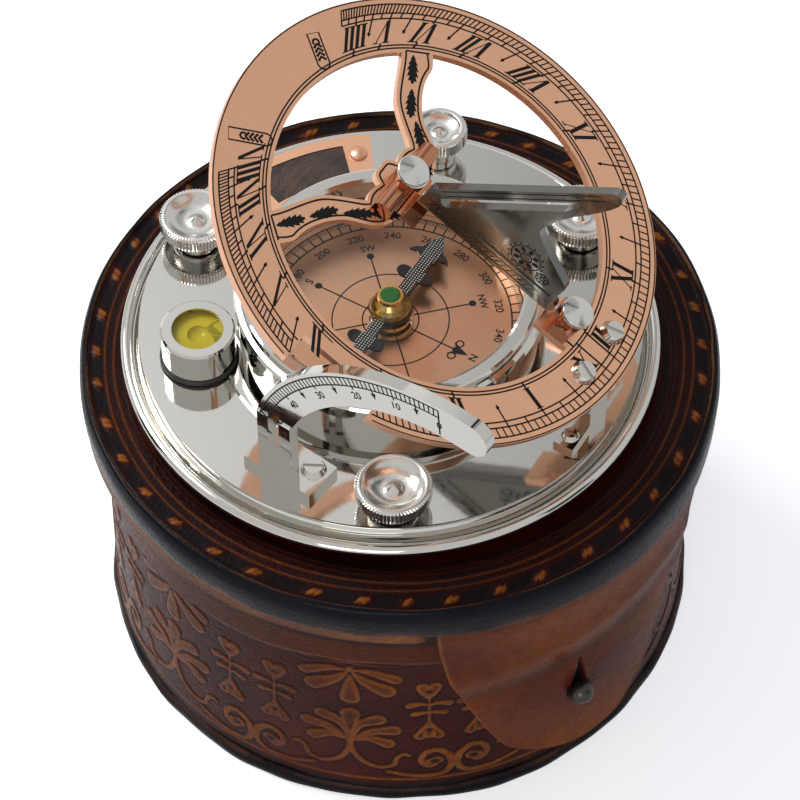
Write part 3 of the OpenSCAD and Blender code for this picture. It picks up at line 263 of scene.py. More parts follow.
board("floor", [[-1500, -1500, 0], [1500, -1500, 0], [1500, 1500, 0], [-1500, 1500, 0]], paper_mat, False)
board("card_over", [[-120, 420, 900], [160, 560, 900], [220, 480, 960], [-60, 330, 960]], black_board)
board("card_left", [[-700, -250, 60], [-640, -420, 60], [-640, -420, 620], [-700, -250, 620]], black_board)
board("card_right", [[640, -60, 120], [680, 170, 120], [680, 170, 560], [640, -60, 560]], black_board)
board("cloudy_sky_card", [[-1000, 10, 1000], [250, 10, 1000], [250, 1260, 1000], [-1000, 1260, 1000]],
      cloud_mat)
print("lamps, cards and floor placed")

# %% [markdown]
# ## Metals and plain materials
# Nickel plate is a bright mirror with faint wiping marks; the copper is brushed, so its gloss is
# broader. Each is a Principled shader with small noise in colour, roughness and bump. The finishes
# are kept under the names of the slots they stand for.

# %% Finishes


def finish(name, colour, metallic=0.0, roughness=0.5, rough_noise=0.0, noise_scale=400.0, bump=0.0,
           bump_scale=900.0, stretch=(1, 1, 1), tint=None, tint_scale=60.0, tint_amount=0.5, **sockets):
    """A finish whose colour, roughness and bump vary with noise on Object coordinates."""
    m = bpy.data.materials.new(name)
    mk, shade = principled(m)
    shade(Base_Color=(*colour, 1), Metallic=metallic, Roughness=roughness, **sockets)
    vec = mk("Mapping", Vector=mk("TexCoord", "Object"), Scale=stretch)
    if rough_noise:
        r, _ = noise_range(mk, vec, noise_scale, 4.0, 0.6, (0.3, 0.7), roughness - rough_noise,
                           roughness + rough_noise)
        shade(Roughness=r)
    if tint:
        amount, _ = noise_range(mk, vec, tint_scale, 5.0, 0.6, (0.35, 0.65), 0.0, tint_amount)
        shade(Base_Color=blend(mk, amount, colour, tint))
    if bump:
        n = mk("TexNoise", Vector=vec, Scale=bump_scale, Detail=3.0)
        shade(Normal=mk("Bump", Height=n, Strength=bump, Distance=0.0002))
    return m


BRUSHED = (1, 14, 1)
FINISH = {
    "nickel": finish("polished_nickel", (0.61, 0.595, 0.56), 1.0, 0.06, 0.03, 900.0, 0.02, 120.0),
    "copper": finish("brushed_copper", (0.80, 0.455, 0.295), 1.0, 0.34, 0.06, 600.0, 0.04, 2500.0,
                     BRUSHED, (0.73, 0.40, 0.25), 40.0, 0.4),
    "dark_copper": finish("polished_copper", (0.50, 0.22, 0.12), 1.0, 0.14, 0.05, 800.0),
    "brass": finish("brass", (0.66, 0.47, 0.17), 1.0, 0.2, 0.06, 700.0),
    "steel": finish("turned_steel", (0.56, 0.56, 0.57), 1.0, 0.25, 0.08, 900.0),
    "gun_metal": finish("gun_metal", (0.06, 0.055, 0.05), 0.8, 0.28, 0.08, 900.0),
    "blackened_steel": finish("blackened_steel", (0.03, 0.03, 0.032), 0.6, 0.38, 0.1, 900.0),
    "black_rubber": finish("black_rubber", (0.015, 0.015, 0.015), 0.0, 0.55, 0.1, 900.0),
    "green_glass": finish("green_glass", (0, 0.15, 0.03), 0.0, 0.08, Coat_Weight=0.5, Specular_IOR_Level=0.2),
    "level_fluid": finish("level_fluid", (0.54, 0.42, 0.003), 0.0, 0.14, 0.04, 300.0,
                          tint=(0.60, 0.45, 0.004), tint_scale=200.0, Specular_IOR_Level=0.2),
}
turned_nickel = finish("turned_nickel", (0.66, 0.65, 0.625), 1.0, 0.19, 0.07, 2600.0, 0.08, 2200.0)
# The gnomon's nickel gets a dark colour: a painted dark reflection of the surroundings it mirrors.
dark_reflection_nickel = finish("dark_reflection_nickel", (0.20, 0.195, 0.178), 1.0, 0.09, 0.05, 900.0, 0.03, 300.0)
# The card's copper is darker than the ring's: painted shade from the ring and bezel over it.
card_copper_in_shade = finish("card_copper_in_shade", (0.66, 0.36, 0.23), 1.0, 0.3, 0.03, 600.0, 0.0, 2500.0,
                     BRUSHED, (0.60, 0.32, 0.20), 40.0, 0.25)
engraving = finish("black_filled_engraving", (0.012, 0.011, 0.011), 0.0, 0.6, 0.1, 2500.0,
                   Specular_IOR_Level=0.12)
etched = finish("etched_field", (0.016, 0.014, 0.014), 0.2, 0.5, 0.1, 900.0, 0.3, 1500.0,
                (1, 1, 1), (0.10, 0.05, 0.03), 160.0, 0.7)
print(len(FINISH), "finishes made")

# %% [markdown]
# ### Window glass
# Thin clear glass lets the light through and mirrors a little more at a flat angle, so it is a
# transparent shader mixed with a sharp glossy one by Fresnel. Only the faces that look at the eye
# mirror: seen from inside, Fresnel would turn the pane into a black mirror at a low angle.

# %% Glass
glass = FINISH["clear_glass"] = bpy.data.materials.new("clear_glass")
g = bare_nodes(glass)
front_only = calc(g, "SUBTRACT", 1.0, g("NewGeometry", "Backfacing"))
edge = calc(g, "MULTIPLY", g("Fresnel", IOR=1.35), front_only)
clear = g("BsdfTransparent", Color=(0.97, 0.985, 0.98, 1))
shine = g("BsdfAnisotropic", Color=(1, 1, 1, 1), Roughness=0.0)
g("OutputMaterial", Surface=g("MixShader", i0=edge, i1=clear, i2=shine))
print("glass made")

# %% [markdown]
# ## Leather
# The case is dyed a dark mahogany, waxed, and rubbed back to tan where fingers and edges wear it.
# Broad noise carries the colour from dark to middle, and fine noise with small cells is its grain.
# Two attributes of a piece go on top: worn adds the tan of the tooling, dark is burnt or inked,
# and dark also carries painted shade under the lid's lip, under the belt and towards the foot.

# %% Leather material
# Colour of the dark attribute: burnt or inked tooling, and painted shade under the lid's lip, under the belt
# and near the foot.
INK_AND_SHADE = (0.006, 0.004, 0.005)


def leather(name, dark, mid, worn, roughness=0.30, grain=0.35, coat=0.05):
    """Dark to mid by broad noise, then worn and dark by their attributes, with a pebbled grain."""
    m = bpy.data.materials.new(name)
    mk, shade = principled(m)
    coords = mk("TexCoord", "Object")
    patch, _ = noise_range(mk, coords, 38.0, 5.0, 0.65, (0.38, 0.68), 0.0, 1.0)
    ragged, _ = noise_range(mk, coords, 420.0, 3.0, 0.7, (0.3, 0.65), 0.45, 1.0)
    amount = calc(mk, "MULTIPLY", mk("Attribute", "Fac", _attribute_name="worn"), ragged, _use_clamp=True)
    base = blend(mk, amount, blend(mk, patch, dark, mid), worn)
    base = blend(mk, mk("Attribute", "Fac", _attribute_name="dark"), base, INK_AND_SHADE)
    shade(Base_Color=base, Specular_IOR_Level=0.05, Coat_Weight=coat, Coat_Roughness=0.14)
    r, fine = noise_range(mk, coords, 900.0, 3.0, 0.6, (0.3, 0.7), roughness - 0.1, roughness + 0.12)
    pebbles = calc(mk, "ADD", mk("TexVoronoi", Vector=coords, Scale=1100.0), fine)
    shade(Roughness=r, Normal=mk("Bump", Height=pebbles, Strength=grain, Distance=0.00025))
    return m


for slot, *tones in (
        ("tooled_leather", (0.023, 0.0016, 0.0020), (0.060, 0.0055, 0.001), (0.28, 0.080, 0.010)),
        ("smooth_leather", (0.048, 0.0045, 0.0035), (0.134, 0.020, 0.002), (0.34, 0.102, 0.018)),
        ("black_leather", (0.0035, 0.004, 0.007), (0.008, 0.008, 0.011), (0.3, 0.12, 0.05), 0.25, 0.3, 0.06)):
    FINISH[slot] = leather(slot, *tones)
print("leathers made")

# %% [markdown]
# ### Needle
# The dark needle is pricked all over its shaft with a fine slanting lattice of bright points: two
# sets of waves cross at right angles, and a point is where both are near their tops.

# %% Needle finish
NEEDLE_DARK, PRICK = (0.012, 0.013, 0.018), (0.8, 0.8, 0.77)
NEEDLE_X, SHAFT_HALF, WAVES_PER_M, POINT_CUT = 0.0017, 0.0021, 4600.0, 0.6
needle_mat = finish("pricked_needle", NEEDLE_DARK, 0.6, 0.34, 0.08, 900.0)
mk, shade = principled(needle_mat)
coords = mk("TexCoord", "Object")
across = calc(mk, "ADD", mk("SeparateXYZ", 0, i0=coords), NEEDLE_X)
along = mk("SeparateXYZ", 1, i0=coords)
waves = [calc(mk, "SINE", calc(mk, "MULTIPLY", calc(mk, way, across, along), WAVES_PER_M))
         for way in ("ADD", "SUBTRACT")]
points = calc(mk, "GREATER_THAN", calc(mk, "MULTIPLY", *waves), POINT_CUT)
shaft = calc(mk, "LESS_THAN", calc(mk, "ABSOLUTE", across), SHAFT_HALF)
shade(Base_Color=blend(mk, calc(mk, "MULTIPLY", points, shaft), NEEDLE_DARK, PRICK))
print("needle finish made")

# %% Give every node its finish
for part in frame["record"]["subparts"]:
    me = NODES[part["node"]].data
    me.materials.clear()
    me.materials.append(FINISH[part["material_slot"]])
for node, own in (("gnomon", dark_reflection_nickel), ("compass_needle", needle_mat), ("compass_card", card_copper_in_shade)):
    NODES[node].data.materials[0] = own

# %% [markdown]
# ## A kit for flat drawings
# Engraved lines on metal are filled with black and lie level with the face. The plainest way to
# get them is to draw them flat, in millimetres, as small quads and polygons, and then to lay the
# whole drawing a few hundredths of a millimetre over the face that carries it.

# %% Ribbons, arcs, words and laying them down
BOLD, DIGIT_H = 1.3, 2.7


def unit(v):
    """Vectors divided by their lengths."""
    return v / np.linalg.norm(v, axis=-1, keepdims=True)


def left(d):
    """Directions turned a quarter to the left."""
    return np.stack([-d[:, 1], d[:, 0]], -1)


def bars(p, q, w):
    """One quad of width w for each straight line from p to q."""
    p, q = (np.atleast_2d(np.asarray(v, float)) for v in (p, q))
    n = left(unit(q - p)) * w * BOLD / 2
    return np.stack([p - n, q - n, q + n, p + n], 1)


def ribbon(points, w, closed=False):
    """Quads along a polyline; at each joint the cut lies square to the mean of both directions."""
    p = np.asarray(points, float)
    if closed:
        after, before = np.roll(p, -1, 0), np.roll(p, 1, 0)
    else:
        after, before = np.vstack([p[1:], 2 * p[-1] - p[-2]]), np.vstack([2 * p[0] - p[1], p[:-1]])
    n = left(unit(after - before)) * w * BOLD / 2
    a, b = p - n, p + n
    if closed:
        a, b = np.vstack([a, a[:1]]), np.vstack([b, b[:1]])
    return np.stack([a[:-1], a[1:], b[1:], b[:-1]], 1)


def polar(r, a):
    """Points at radius r and angle a in degrees."""
    a = np.radians(a)
    return np.stack([r * np.cos(a), r * np.sin(a)], -1)


def arc_line(r, a0, a1, w, step=1.5):
    """A ribbon along a circle of radius r from angle a0 to a1."""
    n = max(2, int(abs(a1 - a0) / step) + 1)
    return ribbon(polar(r, np.linspace(a0, a1, n)), w)


def circle_line(r, w, step=1.5):
    """A ribbon along a whole circle."""
    return arc_line(r, 0, 360, w, step)


def round_points(r, a, z):
    """Points from radius, angle in radians and height."""
    r, a, z = np.broadcast_arrays(r, a, z)
    return np.stack([r * np.cos(a), r * np.sin(a), z], -1)


def disc(r, at, n=20):
    """One many-sided polygon."""
    return (polar(r, np.arange(n) * 360 / n) + at)[None]


def put(shape, at, turn):
    """A drawing turned by degrees and moved."""
    c, s = math.cos(math.radians(turn)), math.sin(math.radians(turn))
    return shape @ np.array([[c, s], [-s, c]]) + at


def word(text, size, weight):
    """Plain digits or letters as flat triangles about the origin, from Blender's own font."""
    c = bpy.data.curves.new("digits", "FONT")
    c.body, c.size, c.offset, c.align_x, c.align_y = text, size, weight, "CENTER", "CENTER"
    o = bpy.data.objects.new("digits", c)
    scene.collection.objects.link(o)
    bpy.context.view_layer.update()
    me = bpy.data.meshes.new_from_object(o.evaluated_get(bpy.context.evaluated_depsgraph_get()))
    me.calc_loop_triangles()
    tri = np.empty(len(me.loop_triangles) * 3, int)
    me.loop_triangles.foreach_get("vertices", tri)
    corners = mesh_points(me)[tri.reshape(-1, 3)][:, :, :2]
    bpy.data.objects.remove(o)
    bpy.data.curves.remove(c)
    bpy.data.meshes.remove(me)
    return corners


def lay(name, shapes, place, lift, body):
    """Lays a drawing on a face: all polygons are turned to face up, lifted, carried to their place."""
    points, faces, start = [], [], 0
    for s in shapes:
        s = np.asarray(s, float)
        if len(s) == 0:
            continue
        nxt = np.roll(s, -1, 1)
        area = (s[..., 0] * nxt[..., 1] - s[..., 1] * nxt[..., 0]).sum(1)
        s[area < 0] = s[area < 0][:, ::-1]
        n, k = s.shape[:2]
        points.append(s.reshape(-1, 2))
        faces += (start + np.arange(n * k).reshape(n, k)).tolist()
        start += n * k
    o = mesh_piece(name, place(np.insert(np.concatenate(points), 2, lift, 1)), faces)
    dress(o, engraving, body, smooth=False)
    print(name, len(faces), "faces")


# %% [markdown]
# ## The hour ring
# The ring of this kind of dial is divided into hours by straight rays from a point behind its
# middle, one for the morning and one for the afternoon, so the hours crowd towards the south. Two
# scales run outside: a ladder of five-minute steps and a band of quarters. The half hours end in
# small arrowheads. All lines come from one formula: the angle at which a ray meets a circle.

# %% Rays and scales of the hour ring
RAY_X, RAY_Y = -28.3, 1.9
HOUR, QUARTER, FIVE_MINUTES = 15.0, 3.75, 1.25
LINE, HEAVY, FINE, FILM = 0.28, 0.34, 0.25, 0.03
MORNING_END, AFTERNOON_END = 127.5, 120.0
BORDER_R, LADDER_OUT, LADDER_IN, BAND_IN = 53.72, 52.4, 50.15, 48.85
FOOT_R, HALF_HOUR_R, INNER_PAIR = 48.3, 45.6, (42.2, 41.45)
NOTCH_Y, NOTCH_FROM, NOTCH_TO = -45.5, -8.1, 14.6


def ray_angle(r, hour):
    """Angle from noon where the ray of an hour angle meets the circle r: the root of |p + t d| = r."""
    h = np.radians(hour)
    b = RAY_X * np.cos(h) + RAY_Y * np.sin(h)
    t = -b + np.sqrt(b * b - (RAY_X ** 2 + RAY_Y ** 2 - np.square(r)))
    return np.degrees(np.arctan2(RAY_Y + t * np.sin(h), RAY_X + t * np.cos(h)))


def on_ray(r, hour, side):
    """Point of a ray at radius r; side is +1 in the morning half and -1 in the afternoon half."""
    return polar(r, side * ray_angle(r, hour))


def ticks(hours, r0, r1, side, w=LINE):
    """Lines along the rays between two circles."""
    return bars(on_ray(r0, hours, side), on_ray(r1, hours, side), w)


def outside_notch(q):
    """Drops the polygons that would lie over the notch cut in the afternoon side."""
    m = np.asarray(q).mean(1)
    return q[~((m[:, 1] < NOTCH_Y) & (m[:, 0] > NOTCH_FROM) & (m[:, 0] < NOTCH_TO))]


drawing = []
for side, end in ((1, MORNING_END), (-1, AFTERNOON_END)):
    fives, quarters, hours = (np.arange(0, end + 0.1, step) for step in (FIVE_MINUTES, QUARTER, HOUR))
    halves = np.arange(HOUR / 2, end - 7, HOUR)
    marks = [ticks(fives, LADDER_IN, LADDER_OUT, side, FINE),
             ticks(quarters, BAND_IN, LADDER_IN, side),
             ticks(hours, FOOT_R, BAND_IN, side, HEAVY),
             ticks(hours[1:], 42.9, INNER_PAIR[1], side, HEAVY),
             ticks(halves, BAND_IN, HALF_HOUR_R, side),
             ticks([0.0], 48.9, INNER_PAIR[1], side, HEAVY)]
    marks += [arc_line(r, 0, side * float(ray_angle(r, end)), LINE) for r in (LADDER_OUT, LADDER_IN, BAND_IN)]
    drawing += [outside_notch(q) for q in marks]
    heads = on_ray(np.array(HALF_HOUR_R), halves, side)
    along = unit(on_ray(np.array(48.0), halves, side) - heads)
    cross = left(along) * 0.45
    drawing.append(np.stack([heads - along * 0.9, heads + cross, heads + along * 0.6, heads - cross], 1))
drawing += [arc_line(r, -180, 180, LINE) for r in INNER_PAIR]
drawing.append(outside_notch(arc_line(BORDER_R, -180, 180, 0.22)))
drawing += [bars([40.1, 2.3], [41.3, 2.3], 0.35), bars([38.0, -3.1], [41.2, -3.1], 0.35)]
lay("ring_scales", drawing, on_ring, FILM, "ring")

# %% [markdown]
# ### Hour numerals
# Roman numerals stand in the broad band. Each letter is a few strokes, given by a place across and
# a height at both ends and a width: thick ones fall, thin ones rise, and bars close their ends.
# Their feet lie on a circle and their sides follow the hour ray, so they lean more and more
# towards the evening.

# %% Numerals of the hour ring
LETTER_H, THICK, THIN = 5.4, 0.95, 0.30
ADVANCE = {"I": 1.55, "V": 3.6, "X": 3.7}
FOOT, TOP = 0.05, 0.95  # inner edges of the bars that close the strokes
STROKES = {
    "I": [(0, 0, 0, 1, THICK), (0, 0, 0, FOOT, 1.65), (0, 1, 0, TOP, 1.65)],
    "V": [(0.15, 0, -1.2, 1, THICK), (0.35, 0, 1.45, 1, THIN), (-1.2, 1, -1.2, TOP, 1.8),
          (1.45, 1, 1.45, TOP, 1.3)],
    "X": [(1.25, 0, -1.25, 1, THICK), (-1.3, 0, 1.35, 1, THIN), (-1.25, 1, -1.25, TOP, 1.7),
          (1.35, 1, 1.35, TOP, 1.3), (1.25, 0, 1.25, FOOT, 1.7), (-1.3, 0, -1.3, FOOT, 1.3)],
}


def letter(kind, u):
    """The strokes of a letter as quads of (place across, height from 0 at the foot to 1 at the top)."""
    return [[[u + u0 - w / 2, v0], [u + u0 + w / 2, v0], [u + u1 + w / 2, v1], [u + u1 - w / 2, v1]]
            for u0, v0, u1, v1, w in STROKES[kind]]


def numeral(text, hour, side, shift=0.0):
    """The letters of one hour, centred on its ray; reading runs towards the morning."""
    widths = np.array([ADVANCE[k] for k in text])
    middles = np.cumsum(widths) - widths / 2 - widths.sum() / 2 + shift
    q = np.array([s for k, u in zip(text, middles) for s in letter(k, u)])
    r = FOOT_R - LETTER_H * q[..., 1]
    return polar(r, side * ray_angle(r, hour) + np.degrees(q[..., 0] / r))


figures = [numeral("X", 0.0, -1, -2.4), numeral("II", 0.0, 1, 1.9)]
for side, hours in ((-1, "I II III IIII V VI VII VIII"), (1, "XI X IX VIII VII VI V IIII")):
    figures += [numeral(text, HOUR * (k + 1), side) for k, text in enumerate(hours.split())]
lay("ring_numerals", [outside_notch(q) for q in figures], on_ring, FILM + 0.005, "ring")

# %% [markdown]
# ### Arms of the ring
# The two arms carry a line a millimetre inside their edge and a row of notched leaves. The edge is
# the same set of curves as in the solid; the line is that edge moved inwards along its normals.
# Two small tabs with chevrons close the scales.

# %% Arm outline, leaves and end tabs
CROWN_X = -7.2
LEAF_L, LEAF_W = 7.4, 2.7
LEAF_T = np.array([0.0, 0.10, 0.08, 0.26, 0.24, 0.46, 0.43, 0.66, 0.63, 0.84, 0.82, 1.0])
LEAF_HALF = np.array([0.18, 0.35, 0.80, 0.55, 1.05, 0.62, 1.10, 0.55, 0.92, 0.32, 0.55, 0.04])


def curves(*spans):
    """Cubic Bezier curves joined end to end; each has a number of steps and four control points."""
    parts = []
    for n, *p in spans:
        p, t = np.asarray(p, float), np.linspace(0, 1, n + 1)[:, None]
        q = (1 - t) ** 3 * p[0] + 3 * (1 - t) ** 2 * t * p[1] + 3 * (1 - t) * t * t * p[2] + t ** 3 * p[3]
        parts.append(q[:-1])
    return np.vstack(parts + [q[-1:]])


north_edge = curves(
    (6, [-25, 33], [-23.4, 31.5], [-21.8, 30], [-21.7, 28.5]),
    (14, [-21.7, 28.5], [-21.9, 24.5], [-18.6, 18.8], [-15.5, 16.4]),
    (14, [-15.5, 16.4], [-12.5, 14.2], [CROWN_X - 0.7, 13.5], [CROWN_X, 7]))
south_edge = curves(
    (5, [-28.6, 30.2], [-29.5, 29.4], [-30.4, 29.4], [-29.9, 27.8]),
    (14, [-29.9, 27.8], [-28.1, 25.6], [-26.5, 20.5], [-24.2, 17]),
    (14, [-24.2, 17], [-22, 13.8], [-17.5, 11.5], [-14.8, 9.2]),
    (8, [-14.8, 9.2], [-15.9, 8], [-15.9, 5], [-14.9, 3.7]),
    (8, [-14.9, 3.7], [-17.4, 3.2], [-17.7, 1.6], [-17.4, 0]))[:-1]
mirror = np.array([1, -1])
edge_line = np.vstack([south_edge, (south_edge * mirror)[::-1][:-1], north_edge * mirror, north_edge[::-1]])
inward = left(unit(np.roll(edge_line, -1, 0) - np.roll(edge_line, 1, 0)))


def leaf(at, direction):
    """A leaf with barbs on each side: half width by height along it, mirrored."""
    half = np.stack([(LEAF_T - 0.5) * LEAF_L, LEAF_HALF * LEAF_W / 2], -1)
    turn = math.degrees(math.atan2(direction[1], direction[0]))
    return put(np.vstack([half, (half * mirror)[::-1]])[None], at, turn)


def end_tab(start, end, side):
    """The small tab that closes the scales: a rounded outline with chevrons and a hook."""
    start, end = np.array(start, float), np.array(end, float)
    d = unit(end - start)
    length = float(np.linalg.norm(end - start))
    outline = np.vstack([polar(1.5, np.linspace(90, 270, 12)) + [1.5, 0], [[length, -1.5], [length, 1.5]]])
    chevrons = [ribbon([[x, -1.0 * side], [x + 0.9, 0], [x, 1.0 * side]], 0.5)
                for x in (2.2 + k * 1.05 for k in range(4))]
    shapes = [ribbon(outline, 0.3, True), *chevrons, arc_line(0.75, -150, 130, 0.4, 12) + [6.7, 0]]
    return [put(s, start, math.degrees(math.atan2(d[1], d[0]))) for s in shapes]


leaves = []
for spots in (np.array([(-25.3, 25.8), (-20.8, 18.4), (-14.8, 13.0), (-9.9, 8.6)]),
              np.array([(-25.0, -26.5), (-20.6, -19.2), (-14.6, -13.4), (-9.8, -9.0)])):
    steps = np.vstack([spots[0] - spots[1], spots[:-1] - spots[1:]])
    leaves += [leaf(p, d) for p, d in zip(spots, steps)]
lay("arm_engraving", [ribbon(edge_line + inward, HEAVY, True)] + leaves, on_ring, FILM, "ring")
tabs = end_tab((-40.3, 10.3), (-47.7, 15.3), 1) + end_tab((-39.3, -13.6), (-47.7, -19.4), -1)
lay("scale_end_tabs", tabs, on_ring, FILM, "ring")

# %% [markdown]
# ## Gnomon
# The gnomon is a plate with a slanting style, a slot behind it and a sunk field. A small rosette of
# plain petals fills its middle, and a fine double line and a hatched edge follow its outline. Both
# sides carry the same drawing.

# %% Rosette and lines of the gnomon
STYLE = math.radians(56.6)
SIDE_OUT, FIELD_SINK = 1.125, 0.3
STYLE_FOOT, STYLE_FROM, STYLE_TO, BASE_FROM, BASE_TO = (-6.2, 7.3), 9.5, 46.0, -4.6, 27.0


def on_gnomon(side):
    """Drawing of a side of the gnomon: x along the noon line, y above the ring, z out of the side."""
    def place(p):
        return on_ring(np.stack([p[..., 0], -side * p[..., 2], p[..., 1]], -1))
    return place


def style_x(h, w):
    """Place on the outer line of the style at height h, moved in by w."""
    return STYLE_FOOT[0] + (h - STYLE_FOOT[1]) / math.tan(STYLE) + w / math.sin(STYLE)


def rosette(at, r):
    """Two rings, eight petals and a scalloped rim of small dots."""
    shapes = [circle_line(r * 0.34, 0.22, 12) + at, circle_line(r * 0.92, 0.22, 12) + at]
    petal_t = np.linspace(0, np.pi, 9)
    petal = np.stack([r * (0.42 + 0.40 * (1 - np.cos(petal_t)) / 2), r * 0.13 * np.sin(petal_t)], -1)
    petal = np.vstack([petal, (petal * mirror)[::-1][1:-1]])[None]
    shapes += [put(petal, at, 45 * k) for k in range(8)]
    shapes += [disc(r * 0.07, at + polar(r * 1.08, 22.5 * k), 8) for k in range(16)]
    return shapes


rosettes = rosette(np.array([19.6, 10.9]), 4.1) + rosette(np.array([25.6, 8.6]), 1.7)
lines = [bars(*([style_x(h, w), h] for h in (STYLE_FROM, STYLE_TO)), 0.2) for w in (0.75, 2.1)]
lines += [bars([BASE_FROM, h], [BASE_TO, h], 0.2) for h in (2.2, 4.4)]
lines += [bars([x, 2.7], [x + 0.9, 3.9], 0.22) for x in np.arange(-3.8, 26, 1.6)]
for side, half_day in ((1, "afternoon"), (-1, "morning")):
    lay("gnomon_lines_" + half_day, lines, on_gnomon(side), SIDE_OUT, "style")
    lay("gnomon_rosette_" + half_day, rosettes, on_gnomon(side), SIDE_OUT - FIELD_SINK, "style")

# %% [markdown]
# ## Latitude arc
# The arc carries a ladder of single degrees outside its line, small arrows at the fives and
# numbers at the tens. The real divisions are very slightly uneven, so the angle of a degree is
# read off a short table by straight interpolation, and runs on evenly past its end.

# %% Scale of the latitude arc
ARC_DEGREES = np.array([0, 10, 20, 30, 40, 50])
ARC_ANGLES = np.array([94.9, 107.9, 120.7, 134.7, 148.1, 160.9])
PAST_END, LADDER_H = 1.28, 2.2


def arc_angle(value):
    """Direction of a degree as seen from the middle of the arc's circle."""
    value = np.asarray(value)
    return np.interp(value, ARC_DEGREES, ARC_ANGLES) + (value > 50) * (value - 50.0) * PAST_END


def arc_marks(angles, inner, outer, w=0.26):
    """Short lines across the arc between two distances from its scale line."""
    return bars(polar(ARC_R + inner, angles), polar(ARC_R + outer, angles), w)


units, fives = arc_angle(np.arange(0, 54.0)), arc_angle(np.arange(5, 56, 10.0))
tens = arc_angle(ARC_DEGREES.astype(float))
scale = [arc_line(r, units[0], units[-1], 0.26) for r in (ARC_R, ARC_R + LADDER_H)]
scale += [
    arc_marks(units, 0.0, LADDER_H), arc_marks(fives, 0.0, -1.2, 0.24), arc_marks(tens[1:], 0.0, -0.9),
    arc_marks(tens[:1], -5.4, LADDER_H, 0.3),
    np.stack([polar(ARC_R - low, fives + turn) for low, turn in ((0.9, -0.75), (2.6, 0.0), (0.9, 0.75))], 1)]
for value, a in zip(ARC_DEGREES, tens):
    scale.append(put(word(str(value), DIGIT_H, 0.03), polar(ARC_R - 2.6, a), a - 90))
lay("latitude_scale", [q + np.array([ARC_MID, ARC_MID_Z]) for q in scale], on_arc, FILM, "arc")

# %% [markdown]
# ## Compass card
# Under the glass lies a brushed copper card: eight spokes, seven of them ending in dots and one in
# an arrow, a circle through the rose, the points of the compass, and a ring of numbers every
# twenty degrees that rise clockwise.

# %% Print of the compass card
RIM_IN, RIM_OUT, SPOKE_IN, SPOKE_OUT, NAMES_R, NUMBERS_R = 28.4, 31.6, 5.6, 19.4, 22.2, 25.6
card = [circle_line(r, w) for r, w in ((13.7, 0.25), (RIM_IN, 0.3), (RIM_OUT, 0.25), (6.6, 0.25))]
spokes = np.arange(0, 360, 45.0)
card.append(bars(polar(SPOKE_IN, spokes), polar(SPOKE_OUT, spokes), 0.28))
card += [disc(0.9, polar(19.8, a)) for a in spokes[1:]]
for step, inner, w in ((5.0, RIM_IN, 0.28), (1.0, 30.2, 0.16)):
    degrees = np.arange(0, 360, step)
    card.append(bars(polar(inner, degrees), polar(RIM_OUT, degrees), w))
for name, a in zip(("N", "NW", "W", "SW", "S", "SE", "E", "NE"), spokes):
    card.append(put(word(name, DIGIT_H if len(name) == 1 else 2.4, 0.05), polar(NAMES_R, a), a - 90))
for value in range(0, 360, 20):
    card.append(put(word(str(value), DIGIT_H, 0.03), polar(NUMBERS_R, -value), -value - 90))
arrow = np.array([[16.2, -1.9], [17.2, -0.7], [16.6, 0], [17.2, 0.7], [16.2, 1.9], [20.9, 0]])
card += [arrow[None, [5, 4, 3, 2]], arrow[None, [5, 2, 1, 0]]]
card += [circle_line(0.9, 0.3, 20) + np.array([17.6, s * 2.0]) for s in (-1, 1)]
lay("card_print", card, on_plate, CARD_Z + FILM, "instrument")

# %% [markdown]
# ## Turned and knurled knobs
# The four knobs are turned on a lathe and their rims are knurled. A knob is a profile carried
# round an axis; where the profile runs along the rim, its radius goes in and out with a triangle
# wave, which gives the teeth. These pieces stand for the plain solids of the knobs.

# %% Turning a profile
CREASE = math.radians(32)
LEVELLER_AT, LEVELLER_TURN, CLAMP_AT = 52.8, 1.7, (53.3, 108.3)
DISH = ((0.72, 0.42), (0.6, 0.72), (0.5, 0.9), (0.36, 0.98), (0.27, 1), (0.22, 0.93), (0.15, 0.74),
        (0.08, 0.5), (0.02, 0.32))


def grid_faces(rows, cols, join_cols=True, join_rows=False):
    """Quads of a grid of points; its columns and its rows can close on themselves."""
    i = np.arange(rows if join_rows else rows - 1)[:, None]
    j = np.arange(cols if join_cols else cols - 1)[None]
    i1, j1 = (i + 1) % rows, (j + 1) % cols
    return np.stack([i * cols + j, i * cols + j1, i1 * cols + j1, i1 * cols + j], -1).reshape(-1, 4).tolist()


def capped_rings(name, rings):
    """A mesh of rings of points, closed by a flat face at its first and last ring."""
    rows, cols = rings.shape[:2]
    caps = [list(range(cols))[::-1], list(range((rows - 1) * cols, rows * cols))]
    return mesh_piece(name, rings, grid_faces(rows, cols) + caps)


def knurled_knob(name, stands_for, profile, at, body, teeth, depth, rim):
    """A turned knob: rows are points of the profile, columns are angles, rows past the rim get teeth."""
    steps = np.arange(teeth * 4)
    wave = np.abs((steps * teeth / len(steps)) % 1.0 * 2 - 1)
    r = profile[:, 0:1] - depth * (profile[:, 0:1] > rim) * wave
    rings = round_points(r, steps * 2 * np.pi / len(steps), profile[:, 1:2])
    o = capped_rings(name, rings + np.append(polar(*at) + INST[:2], 0))
    dress(o, turned_nickel, body)
    o.data.set_sharp_from_angle(angle=CREASE)
    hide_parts(stands_for)


def knob_profile(hub_r, hub_h, r, head_h, dish, z):
    """Hub, knurled head with rounded edges, a dished top with a turned ridge and a small pip."""
    top = hub_h + head_h
    p = [[hub_r - 0.3, 0.0], [hub_r, 0.3], [hub_r, hub_h - 0.05], [r - 0.75, hub_h], [r - 0.25, hub_h + 0.25],
         [r, hub_h + 0.5], [r, top - 0.6], [r - 0.3, top - 0.25], [r - 0.8, top], [r - 1.3, top + 0.02],
         [r - 1.7, top - 0.12]]
    p += [[r * share, top - dish * deep] for share, deep in DISH]
    return np.array(p) + [0, z]


